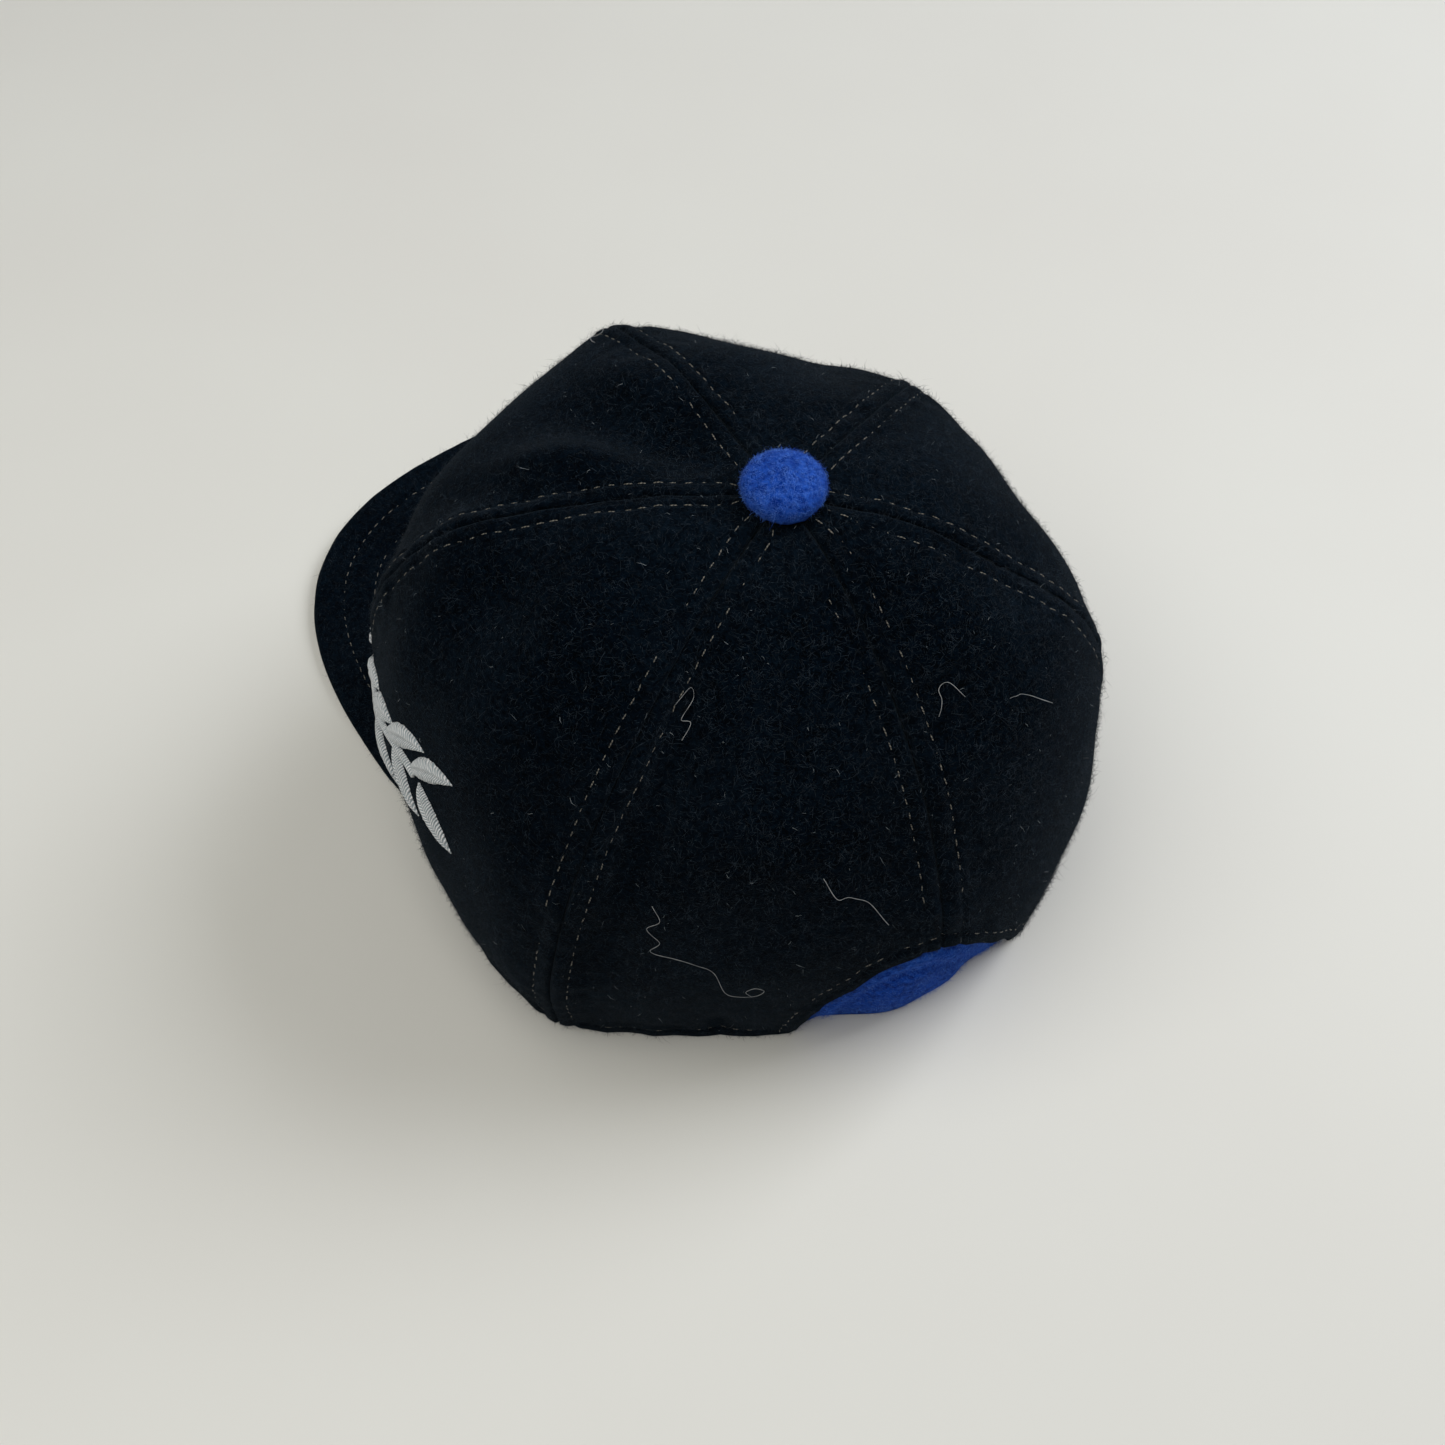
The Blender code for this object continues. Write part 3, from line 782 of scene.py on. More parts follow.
def back_piece():
    """Points behind the arch: the crown's surface moved in, less a belly, with a fold and creases."""
    across = np.linspace(-1, 1, INSERT_COLUMNS + 1)[None, :]
    height = np.linspace(ARCH_HEIGHT + INSERT_MARGIN, 0, INSERT_ROWS + 1)[:, None]
    level = level_at_height(height) + 0 * across
    width, power = arch_half(across)
    off = across * (width + INSERT_MARGIN)
    inside = np.clip(1 - np.abs(off / width) ** power - (height / ARCH_HEIGHT) ** power, 0, 1)
    place = BACK_SEAM + off / gore_width(BACK_SEAM, level)
    points = crown(place, level)
    normal = crown_normals(place, level)
    depth = WOOL_THICKNESS + INSERT_GAP - INSERT_BELLY * inside ** 2
    size, slope = arch_size(off, height)
    from_edge = (1 - size) / slope
    roll = INSERT_ROLL * np.exp(-((from_edge - INSERT_ROLL_AT) / INSERT_ROLL_WIDTH) ** 2)
    furrow = INSERT_FURROW * np.exp(-((from_edge - INSERT_FURROW_AT) / INSERT_ROLL_WIDTH) ** 2)
    fold = (roll * (off < INSERT_ROLL_END) - furrow) * smooth(height / INSERT_TUCK_HEIGHT)
    creases = INSERT_CREASE * waves(points, INSERT_CREASE_LENGTH, 21)
    tuck_in = INSERT_TUCK * smooth(1 - height / INSERT_TUCK_HEIGHT) * smooth(inside / 0.5)
    relief = (creases + fold) * smooth(inside / 0.15) - tuck_in
    outer = points + normal * (relief - depth)[..., None]
    inner = outer - normal * INSERT_THICKNESS
    outer[-1, :, 2] = 0
    inner[-1, :, 2] = 0
    return outer, inner, normal, inside


insert_outer, insert_inner, insert_normal, insert_inside = back_piece()
insert = wall("back_insert_wool", insert_outer, insert_inner, blue_felt)
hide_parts("back_insert")
print(insert.name, triangles(insert), "triangles")

# %% [markdown]
# ## The visor
# A stiff board is covered with the same wool above and below, and the cover is stitched through in
# rows that follow the front edge. The edge is round, because the cover is pulled over the board.

# %% The visor's surface
VISOR_COLUMNS = 220
VISOR_FINE_ROWS = 84
VISOR_ROW_SPACING = 10 * MM
VISOR_STITCH_ROWS = 4
VISOR_PULL = 0.35 * MM
VISOR_DEPTH = 90 * MM
VISOR_EDGE_STEPS = MM * np.array([0, 0.05, 0.15, 0.35, 0.6, 0.9, 1.25, 1.7, 2.3, 3.0])
VISOR_THINNEST = 0.05 * MM
VISOR_EDGE_SAMPLES = 900
CROWN_RIM_SAMPLES = 641
VISOR_HILLS = [(0.25 * MM, 22 * MM, 31), (0.12 * MM, 7 * MM, 33)]


def crown_rim_at_turn(turn):
    """Plan points of the crown's rim at turns from the front, towards the wearer's left."""
    places = np.linspace(-1.6, 1.6, CROWN_RIM_SAMPLES)
    rim = crown(places, np.ones(places.shape))
    turns = np.arctan2(rim[:, 0], -rim[:, 1])
    return read_off(turn, turns, rim[:, :2])


def visor_outline(count):
    """The outer edge in plan: half a superellipse, and nearly straight sides back to the roots."""
    fine = np.linspace(-math.pi / 2, math.pi / 2, 1441)
    bow = 2 / VISOR_SQUARENESS
    edge_x = VISOR_HALF_WIDTH * np.sign(fine) * np.abs(np.sin(fine)) ** bow
    edge_y = -VISOR_WIDEST - (VISOR_TIP - VISOR_WIDEST) * np.abs(np.cos(fine)) ** bow
    root_x = VISOR_HALF_WIDTH - VISOR_ROOT_NARROWING
    edge_x = np.concatenate([[-root_x], edge_x, [root_x]])
    edge_y = np.concatenate([[-VISOR_ROOT], edge_y, [-VISOR_ROOT]])
    run = np.concatenate([[0], np.cumsum(np.hypot(np.diff(edge_x), np.diff(edge_y)))])
    even = np.linspace(0, run[-1], count)
    return read_off(even, run, np.stack([edge_x, edge_y], axis=-1))


VISOR_EDGE = visor_outline(VISOR_COLUMNS + 1)


def to_visor_edge(plan):
    """Distance in plan to the outer edge, from each point to the nearest of its samples."""
    edge = visor_outline(VISOR_EDGE_SAMPLES)
    flat = plan.reshape(-1, 2)
    nearest = np.array([np.hypot(*(edge - block[:, None]).transpose(2, 0, 1)).min(axis=1)
                        for block in np.array_split(flat, 60)], dtype=object)
    return np.concatenate(list(nearest)).astype(float).reshape(plan.shape[:-1])


def visor_face(plan):
    """Upper and lower heights: the arch, its edge rounded by half the thickness, and stitch rows."""
    edge = to_visor_edge(plan)
    fall = rolled(edge, VISOR_THICKNESS / 2)
    rows = np.arange(1, VISOR_STITCH_ROWS + 1) * VISOR_ROW_SPACING
    pull = sum(np.exp(-((edge - row) / STITCH_PULL_WIDTH) ** 2) for row in rows)
    points = np.concatenate([plan, 0 * plan[..., :1]], axis=-1)
    uneven = sum(rise * waves(points, length, seed) for rise, length, seed in VISOR_HILLS)
    level = visor_top(plan[..., 0])
    inside = smooth(edge / (4 * MM))
    upper = level - fall - (VISOR_PULL * pull - uneven) * inside
    lower = np.maximum(level - VISOR_THICKNESS + fall + 0.3 * VISOR_PULL * pull * inside, 0)
    return upper, np.minimum(lower, upper - VISOR_THINNEST)


# %% Make the visor
root_turns = np.linspace(-1, 1, VISOR_COLUMNS + 1) * visor_root_turn()
rim_plan = crown_rim_at_turn(root_turns)
visor_inner_edge = rim_plan * (1 - VISOR_TUCK / np.linalg.norm(rim_plan, axis=-1, keepdims=True))
from_edge = np.concatenate([
    VISOR_EDGE_STEPS / VISOR_DEPTH,
    np.linspace(0.04, 1, VISOR_FINE_ROWS - len(VISOR_EDGE_STEPS)),
])[::-1, None, None]
visor_plan = VISOR_EDGE + (visor_inner_edge - VISOR_EDGE) * np.minimum(from_edge, 1)
visor_upper, visor_lower = visor_face(visor_plan)
upper_points = np.concatenate([visor_plan, visor_upper[..., None]], axis=-1)
lower_points = np.concatenate([visor_plan, visor_lower[..., None]], axis=-1)
visor = wall("visor_wool", upper_points, lower_points, black_felt)
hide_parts("visor")
print(visor.name, triangles(visor), "triangles")

# %% [markdown]
# ## The covered button
# A metal or wooden dome is wrapped in a disc of blue wool. It is a profile turned round its axis, and
# a little uneven where the wool bunches under the rim. Its lowest rows are let down to the cloth, so
# that no light passes under it.

# %% Make the button
BUTTON_RADIUS = 9.8 * MM
BUTTON_SIDES = 96
BUTTON_CLEARANCE = 0.15 * MM
BUTTON_TUCK = 2.5 * MM
BUTTON_TUCK_SHARE = 0.30
BUTTON_UNEVEN = 0.010
BUTTON_HILL_LENGTH = 9 * MM
BUTTON_WELD = 0.002 * MM
CLOTH_COLUMNS = 360
CLOTH_ROWS = 26
button_floor = float(button_low[2])
button_height = float(button_high[2] - button_low[2])


def button_profile():
    """Reach and height: a flattened dome, a soft shoulder, and a tuck in under the edge."""
    angle = np.linspace(0, math.pi / 2, 34)
    reach = BUTTON_RADIUS * np.sin(angle) ** 0.86
    height = button_height * (0.24 + 0.76 * np.cos(angle) ** 0.80)
    under = np.linspace(0, 1, 9)[1:]
    tuck_reach = BUTTON_RADIUS * (1 - 0.20 * under ** 2.2)
    tuck_height = button_height * 0.24 * (1 - under)
    return (np.concatenate([reach, tuck_reach, [0]]),
            np.concatenate([height, tuck_height, [0]]))


button_reach, button_rise = button_profile()
button_turn = np.linspace(0, 2 * math.pi, BUTTON_SIDES, endpoint=False)
button_points = np.stack([
    button_reach[:, None] * np.cos(button_turn),
    button_reach[:, None] * np.sin(button_turn),
    button_rise[:, None] + 0 * button_turn,
], axis=-1)
fade_in = smooth(button_reach / BUTTON_RADIUS)[:, None, None]
bulge = 1 + BUTTON_UNEVEN * waves(button_points, BUTTON_HILL_LENGTH, 41)[..., None] * fade_in
button_points = button_points * [1, 1, 0.99] * bulge
button_points += [BUTTON_LEAN_X, BUTTON_LEAN_Y, button_floor]


def cloth_below(points):
    """Height of the crown under plan points near its top: the highest of the nearest samples."""
    places = np.linspace(0, len(SEAMS), CLOTH_COLUMNS, endpoint=False)
    levels = np.linspace(0.002, 1.5 * BUTTON_RADIUS / SEAM_LENGTH, CLOTH_ROWS)
    samples = skin(places[:, None], levels)[0].reshape(-1, 3)
    flat = points.reshape(-1, 3)
    apart = np.hypot(flat[:, None, 0] - samples[:, 0], flat[:, None, 1] - samples[:, 1])
    nearest = np.argpartition(apart, 3, axis=1)[:, :4]
    return samples[nearest, 2].max(axis=1).reshape(points.shape[:-1])


tuck = smooth(1 - button_rise / (BUTTON_TUCK_SHARE * button_height))[:, None]
clearance = button_floor - cloth_below(button_points) - BUTTON_CLEARANCE
button_points[..., 2] -= tuck * np.clip(clearance, 0, BUTTON_TUCK)
button_faces = [grid_faces(len(button_reach), BUTTON_SIDES, closed=True)]
button = put_in_place("button_wool", button_points, button_faces, blue_felt)
work = bmesh.new()
work.from_mesh(button.data)
bmesh.ops.remove_doubles(work, verts=work.verts, dist=BUTTON_WELD)
bmesh.ops.recalc_face_normals(work, faces=work.faces)
work.to_mesh(button.data)
work.free()
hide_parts("button")
print(button.name, triangles(button), "triangles")

# %% [markdown]
# ## Topstitching
# Every seam has two rows of stitches and the hem has one. A stitch is a short bow of thread: its ends
# go down into the cloth and its middle lies on top. Drawing them in a texture would blur them, so each
# is a small tube of about twenty faces, and one call makes a whole row at once.

# %% Stitches along a row
STITCH_PITCH = 3.5 * MM
STITCH_LENGTH = 2.55 * MM
THREAD_RADIUS = 0.14 * MM
SUNK_LENGTH = 30 * MM
STITCH_SIDES = 5
STITCH_RINGS = 5
STITCH_UNEVEN = 0.10 * MM
STITCH_SWAY = 0.22 * MM
STITCH_FLATNESS = 1.15
ROW_SAMPLES = 900
RIM_ROW_SAMPLES = 2400
ROW_END_CLEARANCE = 1.5 * MM


def stitch_row(points, normals, seed):
    """Tubes along a path, one a pitch, bowed up by a sine and sunk at both ends, with UVs in mm."""
    draw = np.random.default_rng(seed)
    run = along_path(points)
    count = int((run[-1] - STITCH_PITCH) / STITCH_PITCH)
    middle = (np.arange(count) + 0.5) * STITCH_PITCH + draw.normal(0, STITCH_UNEVEN, count)
    share = np.linspace(-0.5, 0.5, STITCH_RINGS)
    at = middle[:, None] + share * STITCH_LENGTH * draw.uniform(0.92, 1.08, (count, 1))
    centre = read_off(at, run, points)
    normal = unit(read_off(at, run, normals))
    way = unit(centre[:, -1:] - centre[:, :1])
    side = np.cross(normal, way + 0 * normal)
    bow = np.cos(math.pi * share)
    sunk = draw.normal(-0.3, 0.4, (count, 1)) - 0.8 * waves(centre[:, :1], SUNK_LENGTH, seed) ** 2
    lift = THREAD_RADIUS * (-1.5 + 2.0 * bow ** 0.5 + sunk)
    sway = (share * draw.normal(0, STITCH_SWAY, (count, 1)))[..., None]
    centre = centre + normal * lift[..., None] + side * sway
    angle = np.linspace(0, 2 * math.pi, STITCH_SIDES, endpoint=False)
    thick = THREAD_RADIUS * (0.55 + 0.45 * bow)[:, None, None]
    ring = side[:, :, None] * np.cos(angle)[:, None] * STITCH_FLATNESS
    ring = ring + normal[:, :, None] * np.sin(angle)[:, None]
    tube = centre[:, :, None] + ring * thick
    around = angle / (2 * math.pi) * 1.2
    uv = np.stack(np.broadcast_arrays(around, (at / MM)[:, :, None]), axis=-1)
    return tube, uv


def tube_faces(count, rings, sides):
    """Faces of many separate tubes: their sides and both end caps."""
    one = grid_faces(rings, sides, closed=True)
    start = (np.arange(count) * rings * sides)[:, None, None]
    body = (one + start).reshape(-1, 4)
    first = np.arange(sides) + start[:, 0]
    last = first[:, ::-1] + (rings - 1) * sides
    return [body, first, last]


def stitching(name, rows, first_seed):
    """One piece of many rows of stitches, each row with a seed of its own."""
    made = [stitch_row(*row, first_seed + number) for number, row in enumerate(rows)]
    tubes, uvs = (np.concatenate(part) for part in zip(*made))
    faces = tube_faces(len(tubes), STITCH_RINGS, STITCH_SIDES)
    piece = put_in_place(name, tubes, faces, seam_thread, uv=uvs)
    print(name, len(tubes), "stitches,", triangles(piece), "triangles")


def seam_row_path(seam, side):
    """A row beside a seam, from under the button to the hem, as places and levels."""
    level = np.linspace(0.035, 0.995, ROW_SAMPLES)
    chord, _, _ = chord_at(seam + 0.5 * side + 0 * level, level)
    place = seam + side * np.minimum(STITCH_ROW / chord, 0.3)
    keep = to_hem(place, level) > ROW_END_CLEARANCE
    return place[keep], level[keep]


def hem_row_paths():
    """The row along the rim, and the row over the arch."""
    right, _ = arch_edge(np.array([0.0]), 1, HEM_ROW)
    left, _ = arch_edge(np.array([0.0]), -1, HEM_ROW)
    rim = np.linspace(BACK_SEAM + right[0], BACK_SEAM + len(SEAMS) - left[0], RIM_ROW_SAMPLES)
    angle = np.linspace(0.03, math.pi - 0.03, ROW_SAMPLES)
    side = np.sign(angle - math.pi / 2)
    arch_off, arch_level = arch_edge(np.minimum(angle, math.pi - angle), side, HEM_ROW)
    rim_level = np.full(rim.shape, 1 - HEM_ROW / SEAM_LENGTH)
    return [(rim, rim_level), (BACK_SEAM + side * arch_off, arch_level)]


# %% Make the crown's stitches
crown_rows = [seam_row_path(seam, side) for seam in range(len(SEAMS)) for side in (-1, 1)]
crown_rows += hem_row_paths()
stitching("crown_topstitching", [skin(place, level) for place, level in crown_rows], 100)


# %% Make the visor's stitches
VISOR_ROW_SAMPLES = 1200
CROWN_CLEARANCE = 0.5 * MM


def visor_row(distance):
    """The outline moved in along its plan normals, where it is clear of the crown, and the way up."""
    edge = visor_outline(VISOR_ROW_SAMPLES)
    way = unit(np.gradient(edge, axis=0))
    plan = edge + np.stack([-way[:, 1], way[:, 0]], axis=-1) * distance
    turn = np.arctan2(plan[:, 0], -plan[:, 1])
    rim = crown_rim_at_turn(turn)
    clear = np.hypot(*plan.T) > np.hypot(*rim.T) + CROWN_CLEARANCE
    plan = plan[clear & (np.abs(turn) < visor_root_turn())]
    upper, _ = visor_face(plan)
    return np.concatenate([plan, upper[:, None]], axis=-1), np.array([[0, 0, 1.0]] * len(plan))


visor_rows = [visor_row((row + 1) * VISOR_ROW_SPACING) for row in range(VISOR_STITCH_ROWS)]
stitching("visor_topstitching", visor_rows, 201)

# %% [markdown]
# ## Needlework on the front
# The front carries raised white satin stitch. Here it is a plain leafy sprig that runs round the
# front: a thin stem, and leaves in pairs. Each leaf is a low mound with a dip along its middle, and
# the threads slant away from that dip, so the finish reads the mound's own UV map.

# %% Sizes of the sprig
SPRIG_START = -0.86
SPRIG_END = 1.45
SPRIG_LEVEL = 0.668
SPRIG_SWING = 0.035
SPRIG_CREST = 0.45
SPRIG_PAIRS = 17
STEM_WIDTH = 2.2 * MM
STEM_HEIGHT = 1.1 * MM
LEAF_LENGTH = 19 * MM
LEAF_WIDTH = 5.8 * MM
LEAF_HEIGHT = 1.7 * MM
LEAF_ANGLE = math.radians(52)
LEAF_CURL = 0.16
LEAF_VEIN = 0.5 * MM
LEAF_SAMPLES = 38
LEAF_COLUMNS = 15
STITCH_BRIDGE = 0.25 * MM
STITCH_FOOT = 0.4 * MM
STEM_SAMPLES = 900
STEM_COLUMNS = 9


def stitched_mound(place, level, mound):
    """Top and foot of raised stitching: it bridges the seams' grooves, and its foot is in the cloth."""
    points = crown(place, level)
    normal = crown_normals(place, level)
    slack = drape(place, level, points)
    cloth = needlework(place, level, points)
    top = points + normal * (slack + np.maximum(cloth, -STITCH_BRIDGE) + mound)[..., None]
    foot = points + normal * (slack + cloth - STITCH_FOOT)[..., None]
    return top, foot


def stem_level(place):
    """The stem sways a little up and down as it goes round."""
    return SPRIG_LEVEL - SPRIG_SWING * np.cos(2 * math.pi * (place - SPRIG_CREST))


# %% Make the sprig
def leaves():
    """Pairs of pointed ovals along the stem; width is a sine of the length, height a rounded arc."""
    draw = np.random.default_rng(300)
    root = np.repeat(np.linspace(SPRIG_START + 0.05, SPRIG_END, SPRIG_PAIRS), 2)[:, None, None]
    side = np.tile([1.0, -1.0], SPRIG_PAIRS)[:, None, None]
    root = root + np.where(side > 0, 0.0, 0.045)
    long = LEAF_LENGTH * (1 + 0.05 * draw.normal(size=root.shape))
    along = np.linspace(0.0, 1.0, LEAF_SAMPLES)[None, :, None]
    bow = np.linspace(-1, 1, LEAF_COLUMNS)[None, None, :]
    half = LEAF_WIDTH / 2 * np.sin(math.pi * np.clip(along, 0.015, 0.985) ** 0.85) ** 0.9
    half = half * (1 + 0.035 * draw.normal(size=(2 * SPRIG_PAIRS, LEAF_SAMPLES, 1)))
    off = half * bow
    turn = LEAF_ANGLE - LEAF_CURL * 4 * along
    x = long * along * np.cos(LEAF_ANGLE - 2 * LEAF_CURL * along) - off * np.sin(turn)
    y = long * along * np.sin(LEAF_ANGLE - 2 * LEAF_CURL * along) + off * np.cos(turn)
    chord, _, _ = chord_at(root, stem_level(root))
    place = root + x / chord
    level = stem_level(root) - side * y / SEAM_LENGTH
    arc = np.sqrt(np.clip(1 - bow ** 2, 0, 1))
    vein = 1 - 0.45 * np.exp(-(off / LEAF_VEIN) ** 2)
    mound = LEAF_HEIGHT * arc * vein * np.sqrt(half / half.max())
    place, level, mound = np.broadcast_arrays(place, level, mound)
    top, foot = stitched_mound(place, level, mound)
    uv = np.stack(np.broadcast_arrays(off / MM, (long * along + 0.8 * np.abs(off)) / MM), axis=-1)
    turned = side[..., None] < 0
    return [np.where(turned, grid[:, :, ::-1], grid) for grid in (top, foot, uv)]


def stem():
    """A narrow mound along the stem's path."""
    place = np.linspace(SPRIG_START, SPRIG_END + 0.02, STEM_SAMPLES)[:, None]
    bow = np.linspace(1, -1, STEM_COLUMNS)[None, :]
    draw = np.random.default_rng(301)
    half = STEM_WIDTH / 2 * (1 + 0.05 * draw.normal(size=place.shape))
    level = stem_level(place) + half * bow / SEAM_LENGTH
    place, level = np.broadcast_arrays(place, level)
    mound = STEM_HEIGHT * np.sqrt(np.clip(1 - bow ** 2, 0, 1)) + 0 * place
    top, foot = stitched_mound(place, level, mound)
    run = along_path(top[:, STEM_COLUMNS // 2])[:, None]
    uv = np.stack(np.broadcast_arrays(half * bow / MM, run / MM), axis=-1)
    return top, foot, uv


leaf_top, leaf_foot, leaf_uv = leaves()
sprig_leaves = wall("satin_stitch_leaves", leaf_top, leaf_foot, satin_thread, leaf_uv)
stem_top, stem_foot, stem_uv = stem()
sprig_stem = wall("satin_stitch_stem", stem_top, stem_foot, satin_thread, stem_uv)
print("sprig:", triangles(sprig_leaves), triangles(sprig_stem), "triangles")

# %% [markdown]
# ## Nap and lint
# What makes wool look like wool is the fuzz at its outline. Each fibre is a ribbon of two segments
# that leaves the felt at a low angle. A particle system would do, but ribbons made in one go export
# as they are. A few cotton threads and flecks have caught in the nap.

# %% Nap on the crown
NAP_PER_GORE = 19000
NAP_LENGTH = 1.6 * MM
FIBRE_WIDTH = 0.06 * MM
FIBRE_ROOT = 0.1 * MM
NAP_OFF_HEM = 0.3 * MM


def nap(name, roots, normals, finish, seed, length, width=FIBRE_WIDTH):
    """Ribbons from root points: half-way out and bent at the middle, at random angles and lengths."""
    draw = np.random.default_rng(seed)
    count = len(roots)
    spin = draw.normal(size=(count, 3))
    flat = unit(spin - normals * (spin * normals).sum(axis=1, keepdims=True))
    bend = draw.normal(size=(count, 3)) * 0.35
    size = length * draw.gamma(4, 0.25, count)[:, None]
    rise = draw.uniform(0.15, 0.85, count)[:, None]
    middle = roots + size * (0.5 * normals * rise + 0.42 * flat)
    tip = middle + size * (0.35 * normals * (rise - 0.25) + 0.45 * (flat + bend))
    side = np.cross(flat, normals) + 0.6 * draw.normal(size=(count, 3))
    side = unit(side) * width / 2
    root = roots - FIBRE_ROOT * normals
    points = np.stack([root - side, root + side, middle - side, middle + side, tip], axis=1)
    start = 5 * np.arange(count)[:, None]
    return put_in_place(name, points, [start + [0, 1, 3, 2], start + [2, 3, 4]], finish)


def scattered(number, count, seed):
    """Random places and levels of one gore, even over its cloth: the wide rows get more points."""
    draw = np.random.default_rng(seed)
    place = number + draw.uniform(0.004, 0.996, 4 * count)
    level = draw.uniform(0.03, 0.998, 4 * count)
    chord, _, _ = chord_at(place, level)
    kept = draw.uniform(0, 1, 4 * count) < chord / chord.max()
    kept &= to_hem(place, level) > NAP_OFF_HEM
    return place[kept][:count], level[kept][:count]


naps = []
for number, (name, _, _) in enumerate(PANELS):
    roots, normals = skin(*scattered(number, NAP_PER_GORE, 400 + number))
    naps.append(nap(name + "_nap", roots, normals, black_fibre, 410 + number, NAP_LENGTH))
print("nap on the crown:", sum(triangles(made) for made in naps), "triangles")

# %% Nap on the visor, the button and the back piece
VISOR_NAP = 22000
VISOR_NAP_LENGTH = 1.2 * MM
BUTTON_NAP = 5200
BUTTON_NAP_LENGTH = 0.8 * MM
BUTTON_LAST_NAP_ROW = 36
INSERT_NAP = 7000
INSERT_NAP_LENGTH = 0.9 * MM
INSERT_NAP_SCATTER = 0.25 * MM
draw = np.random.default_rng(430)
across, inward = draw.uniform(0, VISOR_COLUMNS, VISOR_NAP), draw.uniform(0, 1, (VISOR_NAP, 1)) ** 0.7
edge_at = read_off(across, np.arange(VISOR_COLUMNS + 1), VISOR_EDGE)
root_at = read_off(across, np.arange(VISOR_COLUMNS + 1), visor_inner_edge)
plan = root_at + (edge_at - root_at) * inward
upper, _ = visor_face(plan)
rim_share = np.clip(1 - to_visor_edge(plan) / (VISOR_THICKNESS / 2), 0, 1)[:, None]
visor_way = unit(np.concatenate([unit(edge_at - root_at) * rim_share, 1 - 0.9 * rim_share], axis=1))
visor_roots = np.concatenate([plan, upper[:, None]], axis=1)
visor_nap = nap("visor_nap", visor_roots, visor_way, black_fibre, 431, VISOR_NAP_LENGTH)

ring = draw.uniform(0, 2 * math.pi, BUTTON_NAP)
step = draw.uniform(0, 1, BUTTON_NAP) ** 0.6 * BUTTON_LAST_NAP_ROW
dome_reach = np.interp(step, np.arange(len(button_reach)), button_reach)[:, None]
way = np.stack([np.cos(ring), np.sin(ring), 0 * ring], axis=1)
dome = way * dome_reach + [BUTTON_LEAN_X, BUTTON_LEAN_Y, button_floor]
dome[:, 2] += np.interp(step, np.arange(len(button_rise)), button_rise)
lean = np.clip(dome_reach / BUTTON_RADIUS, 0, 1)
dome_way = unit(way * lean ** 4 + np.array([0, 0, 1]) * (1.02 - lean ** 6))
button_nap = nap("button_nap", dome, dome_way, blue_fibre, 433, BUTTON_NAP_LENGTH)

inside = np.argwhere(insert_inside > 0.01)
row, column = inside[draw.integers(0, len(inside), INSERT_NAP)].T
insert_roots = insert_outer[row, column] + draw.normal(0, INSERT_NAP_SCATTER, (INSERT_NAP, 3))
insert_nap = nap("back_insert_nap", insert_roots, insert_normal[row, column], blue_fibre,
                 435, INSERT_NAP_LENGTH)
print("nap elsewhere:", [triangles(made) for made in (visor_nap, button_nap, insert_nap)], "triangles")

# %% Loose threads and flecks
LINT_RADIUS = 0.055 * MM
LINT_SIDES = 5
LINT_SAMPLES = 14
LINT_LIFT = 0.45 * MM
LINT_HOP = 0.5 * MM
FLECKS_PER_GORE = 150
FLECK_LIFT = 0.25 * MM
FLECK_LENGTH = 1.0 * MM
FLECK_WIDTH = 0.075 * MM
LINT_PATHS = {
    "curled_back_left": [
        (2.22, 0.60), (2.25, 0.62), (2.22, 0.64), (2.26, 0.66), (2.24, 0.685), (2.30, 0.69),
        (2.36, 0.70), (2.41, 0.715), (2.45, 0.77), (2.49, 0.785), (2.53, 0.78), (2.545, 0.76),
        (2.52, 0.75), (2.50, 0.765), (2.52, 0.785),
    ],
    "bent_back": [(2.67, 0.55), (2.71, 0.585), (2.75, 0.585), (2.80, 0.60), (2.85, 0.64)],
    "hooked_back_right": [(3.14, 0.36), (3.18, 0.345), (3.19, 0.33), (3.24, 0.33), (3.27, 0.36)],
    "straight_side_right": [(3.42, 0.40), (3.48, 0.41), (3.56, 0.45)],
    "tuft_back_left": [
        (2.08, 0.31), (2.11, 0.285), (2.145, 0.30), (2.13, 0.33), (2.17, 0.335), (2.16, 0.36),
    ],
    "wisp_front": [(0.03, 0.42), (0.06, 0.40), (0.10, 0.41), (0.12, 0.39)],
}


def through(points, samples):
    """A Catmull-Rom curve through a row of points, sampled evenly between each pair."""
    ends = np.concatenate([2 * points[:1] - points[1:2], points, 2 * points[-1:] - points[-2:-1]])
    t = np.linspace(0, 1, samples, endpoint=False)[None, :, None]
    a, b, c, d = (ends[i:len(ends) - 3 + i, None] for i in range(4))
    square, cube = 2 * a - 5 * b + 4 * c - d, 3 * b - a - 3 * c + d
    curve = 0.5 * (2 * b + (c - a) * t + square * t ** 2 + cube * t ** 3)
    return np.concatenate([curve.reshape(-1, points.shape[1]), points[-1:]])


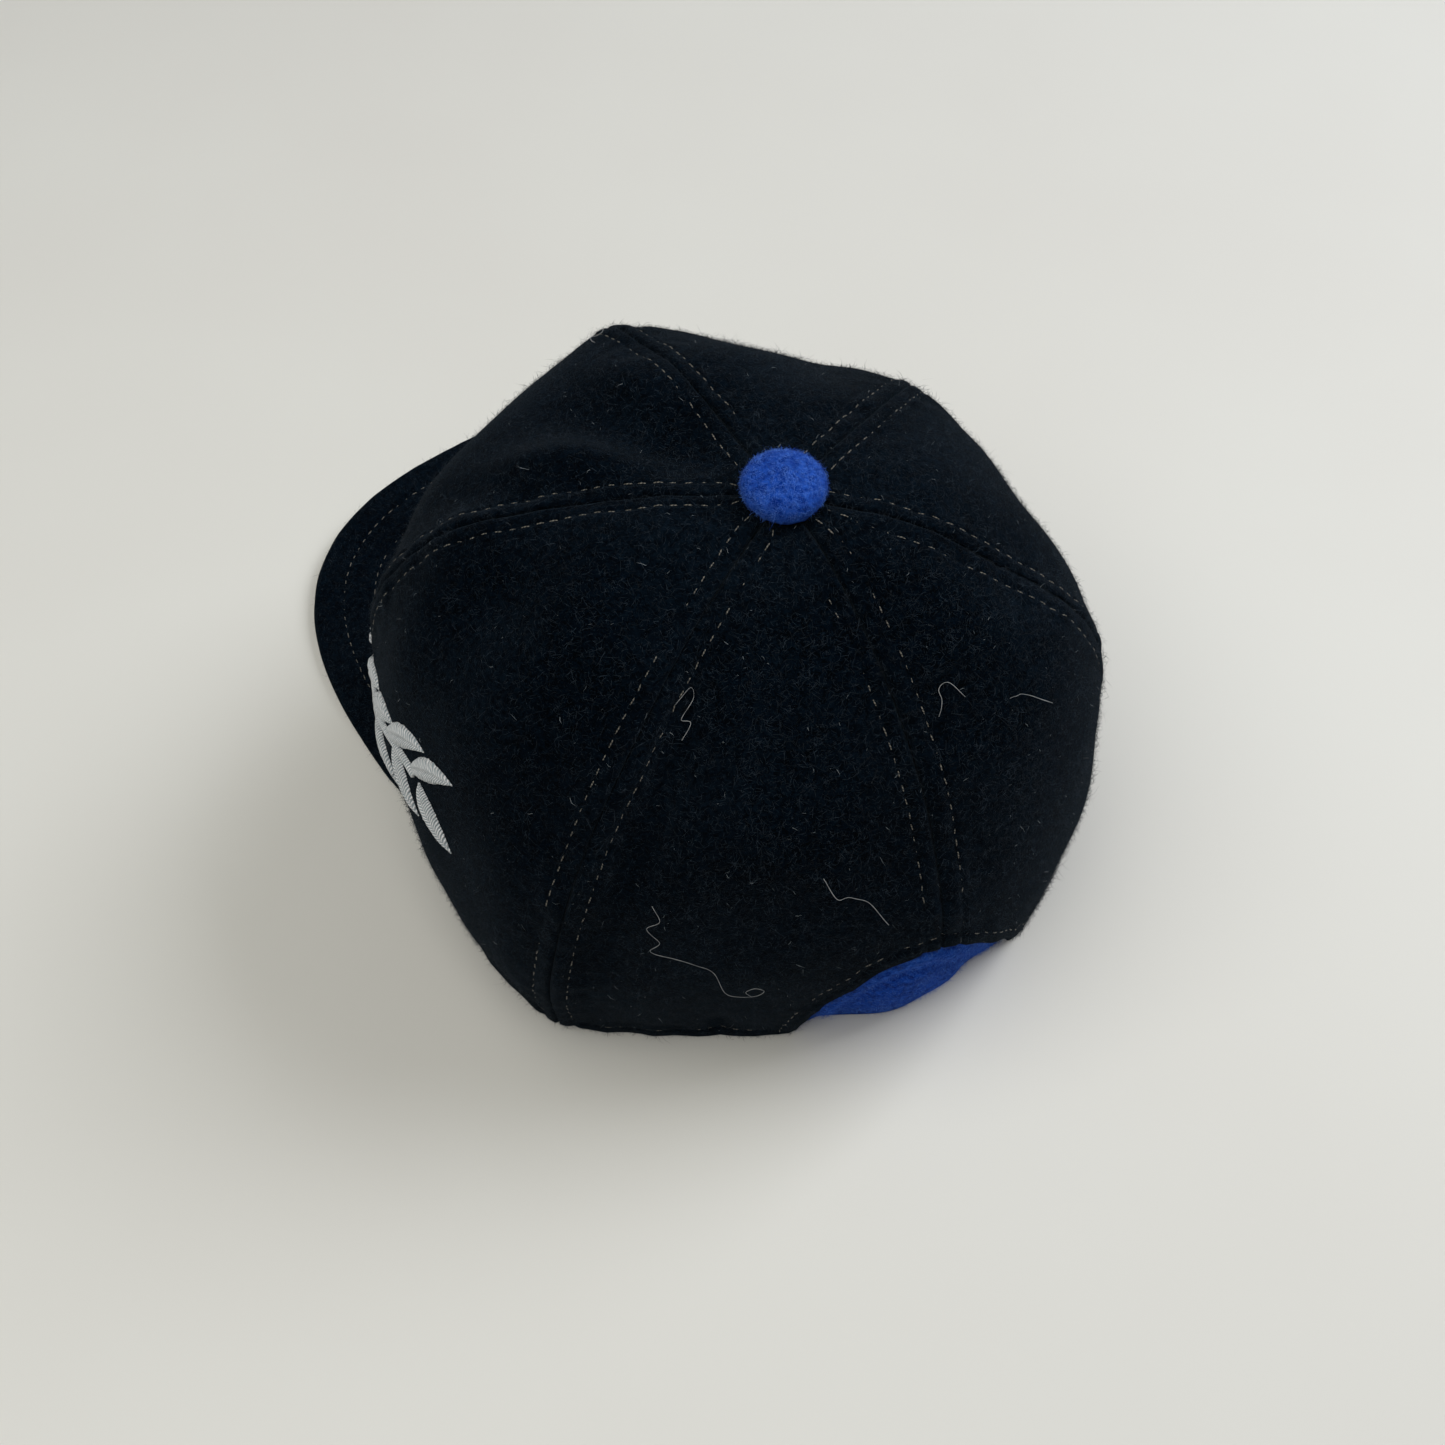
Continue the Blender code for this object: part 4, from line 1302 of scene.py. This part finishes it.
def loose_thread(name, route, seed):
    """A thin tube along a route on the cloth, lying on the nap and lifting off it here and there."""
    draw = np.random.default_rng(seed)
    path = through(np.array(route), LINT_SAMPLES)
    steps = np.linspace(0, 1, len(path))
    rise = LINT_LIFT + LINT_HOP * np.sin(steps * 9 + draw.uniform(0, 6)) ** 2
    centre, normal = skin(path[:, 0], path[:, 1], rise)
    side = np.cross(normal, unit(np.gradient(centre, axis=0)))
    angle = np.linspace(0, 2 * math.pi, LINT_SIDES, endpoint=False)[:, None]
    ring = side[:, None] * np.cos(angle) + normal[:, None] * np.sin(angle)
    tube = centre[:, None] + LINT_RADIUS * ring
    return put_in_place("lint_" + name, tube[None], tube_faces(1, len(path), LINT_SIDES), lint_fibre)


threads = [loose_thread(name, route, 500 + i) for i, (name, route) in enumerate(LINT_PATHS.items())]

# Flecks: short bits of pale fibre that lie flat in the nap.
fleck_rows = [skin(*scattered(number, FLECKS_PER_GORE, 520 + number), FLECK_LIFT)
              for number in range(len(PANELS))]
fleck_roots, fleck_ways = (np.concatenate(part) for part in zip(*fleck_rows))
flecks = nap("lint_flecks", fleck_roots, fleck_ways, dust_fibre, 530, FLECK_LENGTH, FLECK_WIDTH)
print("loose threads:", len(threads), "flecks:", triangles(flecks), "triangles")

# %% [markdown]

# %% [markdown]
# ## Table, light and camera
# The cap lies on a pale grey table under wide, soft room light. One large lamp stands to the right
# and beyond the cap, which leaves a soft shade on the near left side. A second one hangs over the
# left and lightens the table there. The camera looks down over the wearer's back left.

# %% Table
# Painted board: a matt pale grey with the faintest unevenness, so that the light falls off softly.
TABLE_REACH = 4.0
floor_finish, floor_tree, floor_shader = new_finish("painted_table", 0.55, 0.3)
floor_place = add_node(floor_tree, "ShaderNodeTexCoord").outputs["Object"]
floor_share = stretched_range(floor_tree, noise(floor_tree, floor_place, 5.0, 3.0), 0.3, 0.7)
floor_colour = mixed(floor_tree, floor_share, "#DAD9D2", "#DDDDD6")
floor_tree.links.new(floor_colour, floor_shader.inputs["Base Color"])
floor_mesh = bpy.data.meshes.new("table")
corners = [(x * TABLE_REACH, y * TABLE_REACH, 0) for x, y in ((-1, -1), (1, -1), (1, 1), (-1, 1))]
floor_mesh.from_pydata(corners, [], [(0, 1, 2, 3)])
floor_mesh.materials.append(floor_finish)
floor = bpy.data.objects.new("table", floor_mesh)
bpy.context.scene.collection.objects.link(floor)
print("table:", floor.name, "of", floor_finish.name)


# %% Lamps
def soft_lamp(name, place, target, width, power, colour):
    """A square lamp at a place, turned to a target, in metres and watts."""
    data = bpy.data.lights.new(name, "AREA")
    data.shape = "SQUARE"
    data.size = width
    data.energy = power
    data.color = linear(colour)[:3]
    lamp = bpy.data.objects.new(name, data)
    lamp.location = place
    lamp.rotation_euler = (Vector(target) - Vector(place)).to_track_quat("-Z", "Y").to_euler()
    bpy.context.scene.collection.objects.link(lamp)
    return lamp


soft_lamp("window", (-1.27, 0.21, 1.25), (0, 0, 0.05), 0.9, 21, "#F6F8FF")
soft_lamp("ceiling", (0.48, -0.03, 1.3), (0.2, 0, 0), 1.3, 11, "#FFFCF6")
soft_lamp("room", (0.9, 1.0, 1.1), (0, 0, 0.05), 1.6, 1, "#FFFFFF")
print("lamps:", [light.name for light in bpy.data.lights])
world = bpy.data.worlds.new("pale_room")
world.use_nodes = True
world.node_tree.nodes["Background"].inputs["Color"].default_value = linear("#E6E8EA")
world.node_tree.nodes["Background"].inputs["Strength"].default_value = 0.20
bpy.context.scene.world = world
bpy.context.scene.view_settings.view_transform = "Standard"

# %% Camera
CAMERA_PITCH = 57.0
CAMERA_AZIMUTH = 144.0
CAMERA_TARGET = np.array([14.5, 18.2, 60.0]) * MM
CAMERA_DISTANCE = 0.377
pitch, azimuth = math.radians(CAMERA_PITCH), math.radians(CAMERA_AZIMUTH)
forward = np.array([
    -math.sin(azimuth) * math.cos(pitch),
    math.cos(azimuth) * math.cos(pitch),
    -math.sin(pitch),
])
camera_data = bpy.data.cameras.new("camera")
camera_data.lens = 36.0
camera_data.sensor_width = 36.0
camera = bpy.data.objects.new("camera", camera_data)
camera.location = CAP_PLACE + CAMERA_TARGET - forward * CAMERA_DISTANCE
camera.rotation_euler = Vector(forward).to_track_quat("-Z", "Y").to_euler()
bpy.context.scene.collection.objects.link(camera)
bpy.context.scene.camera = camera
print("camera at, mm:", [round(x / MM, 1) for x in camera.location])
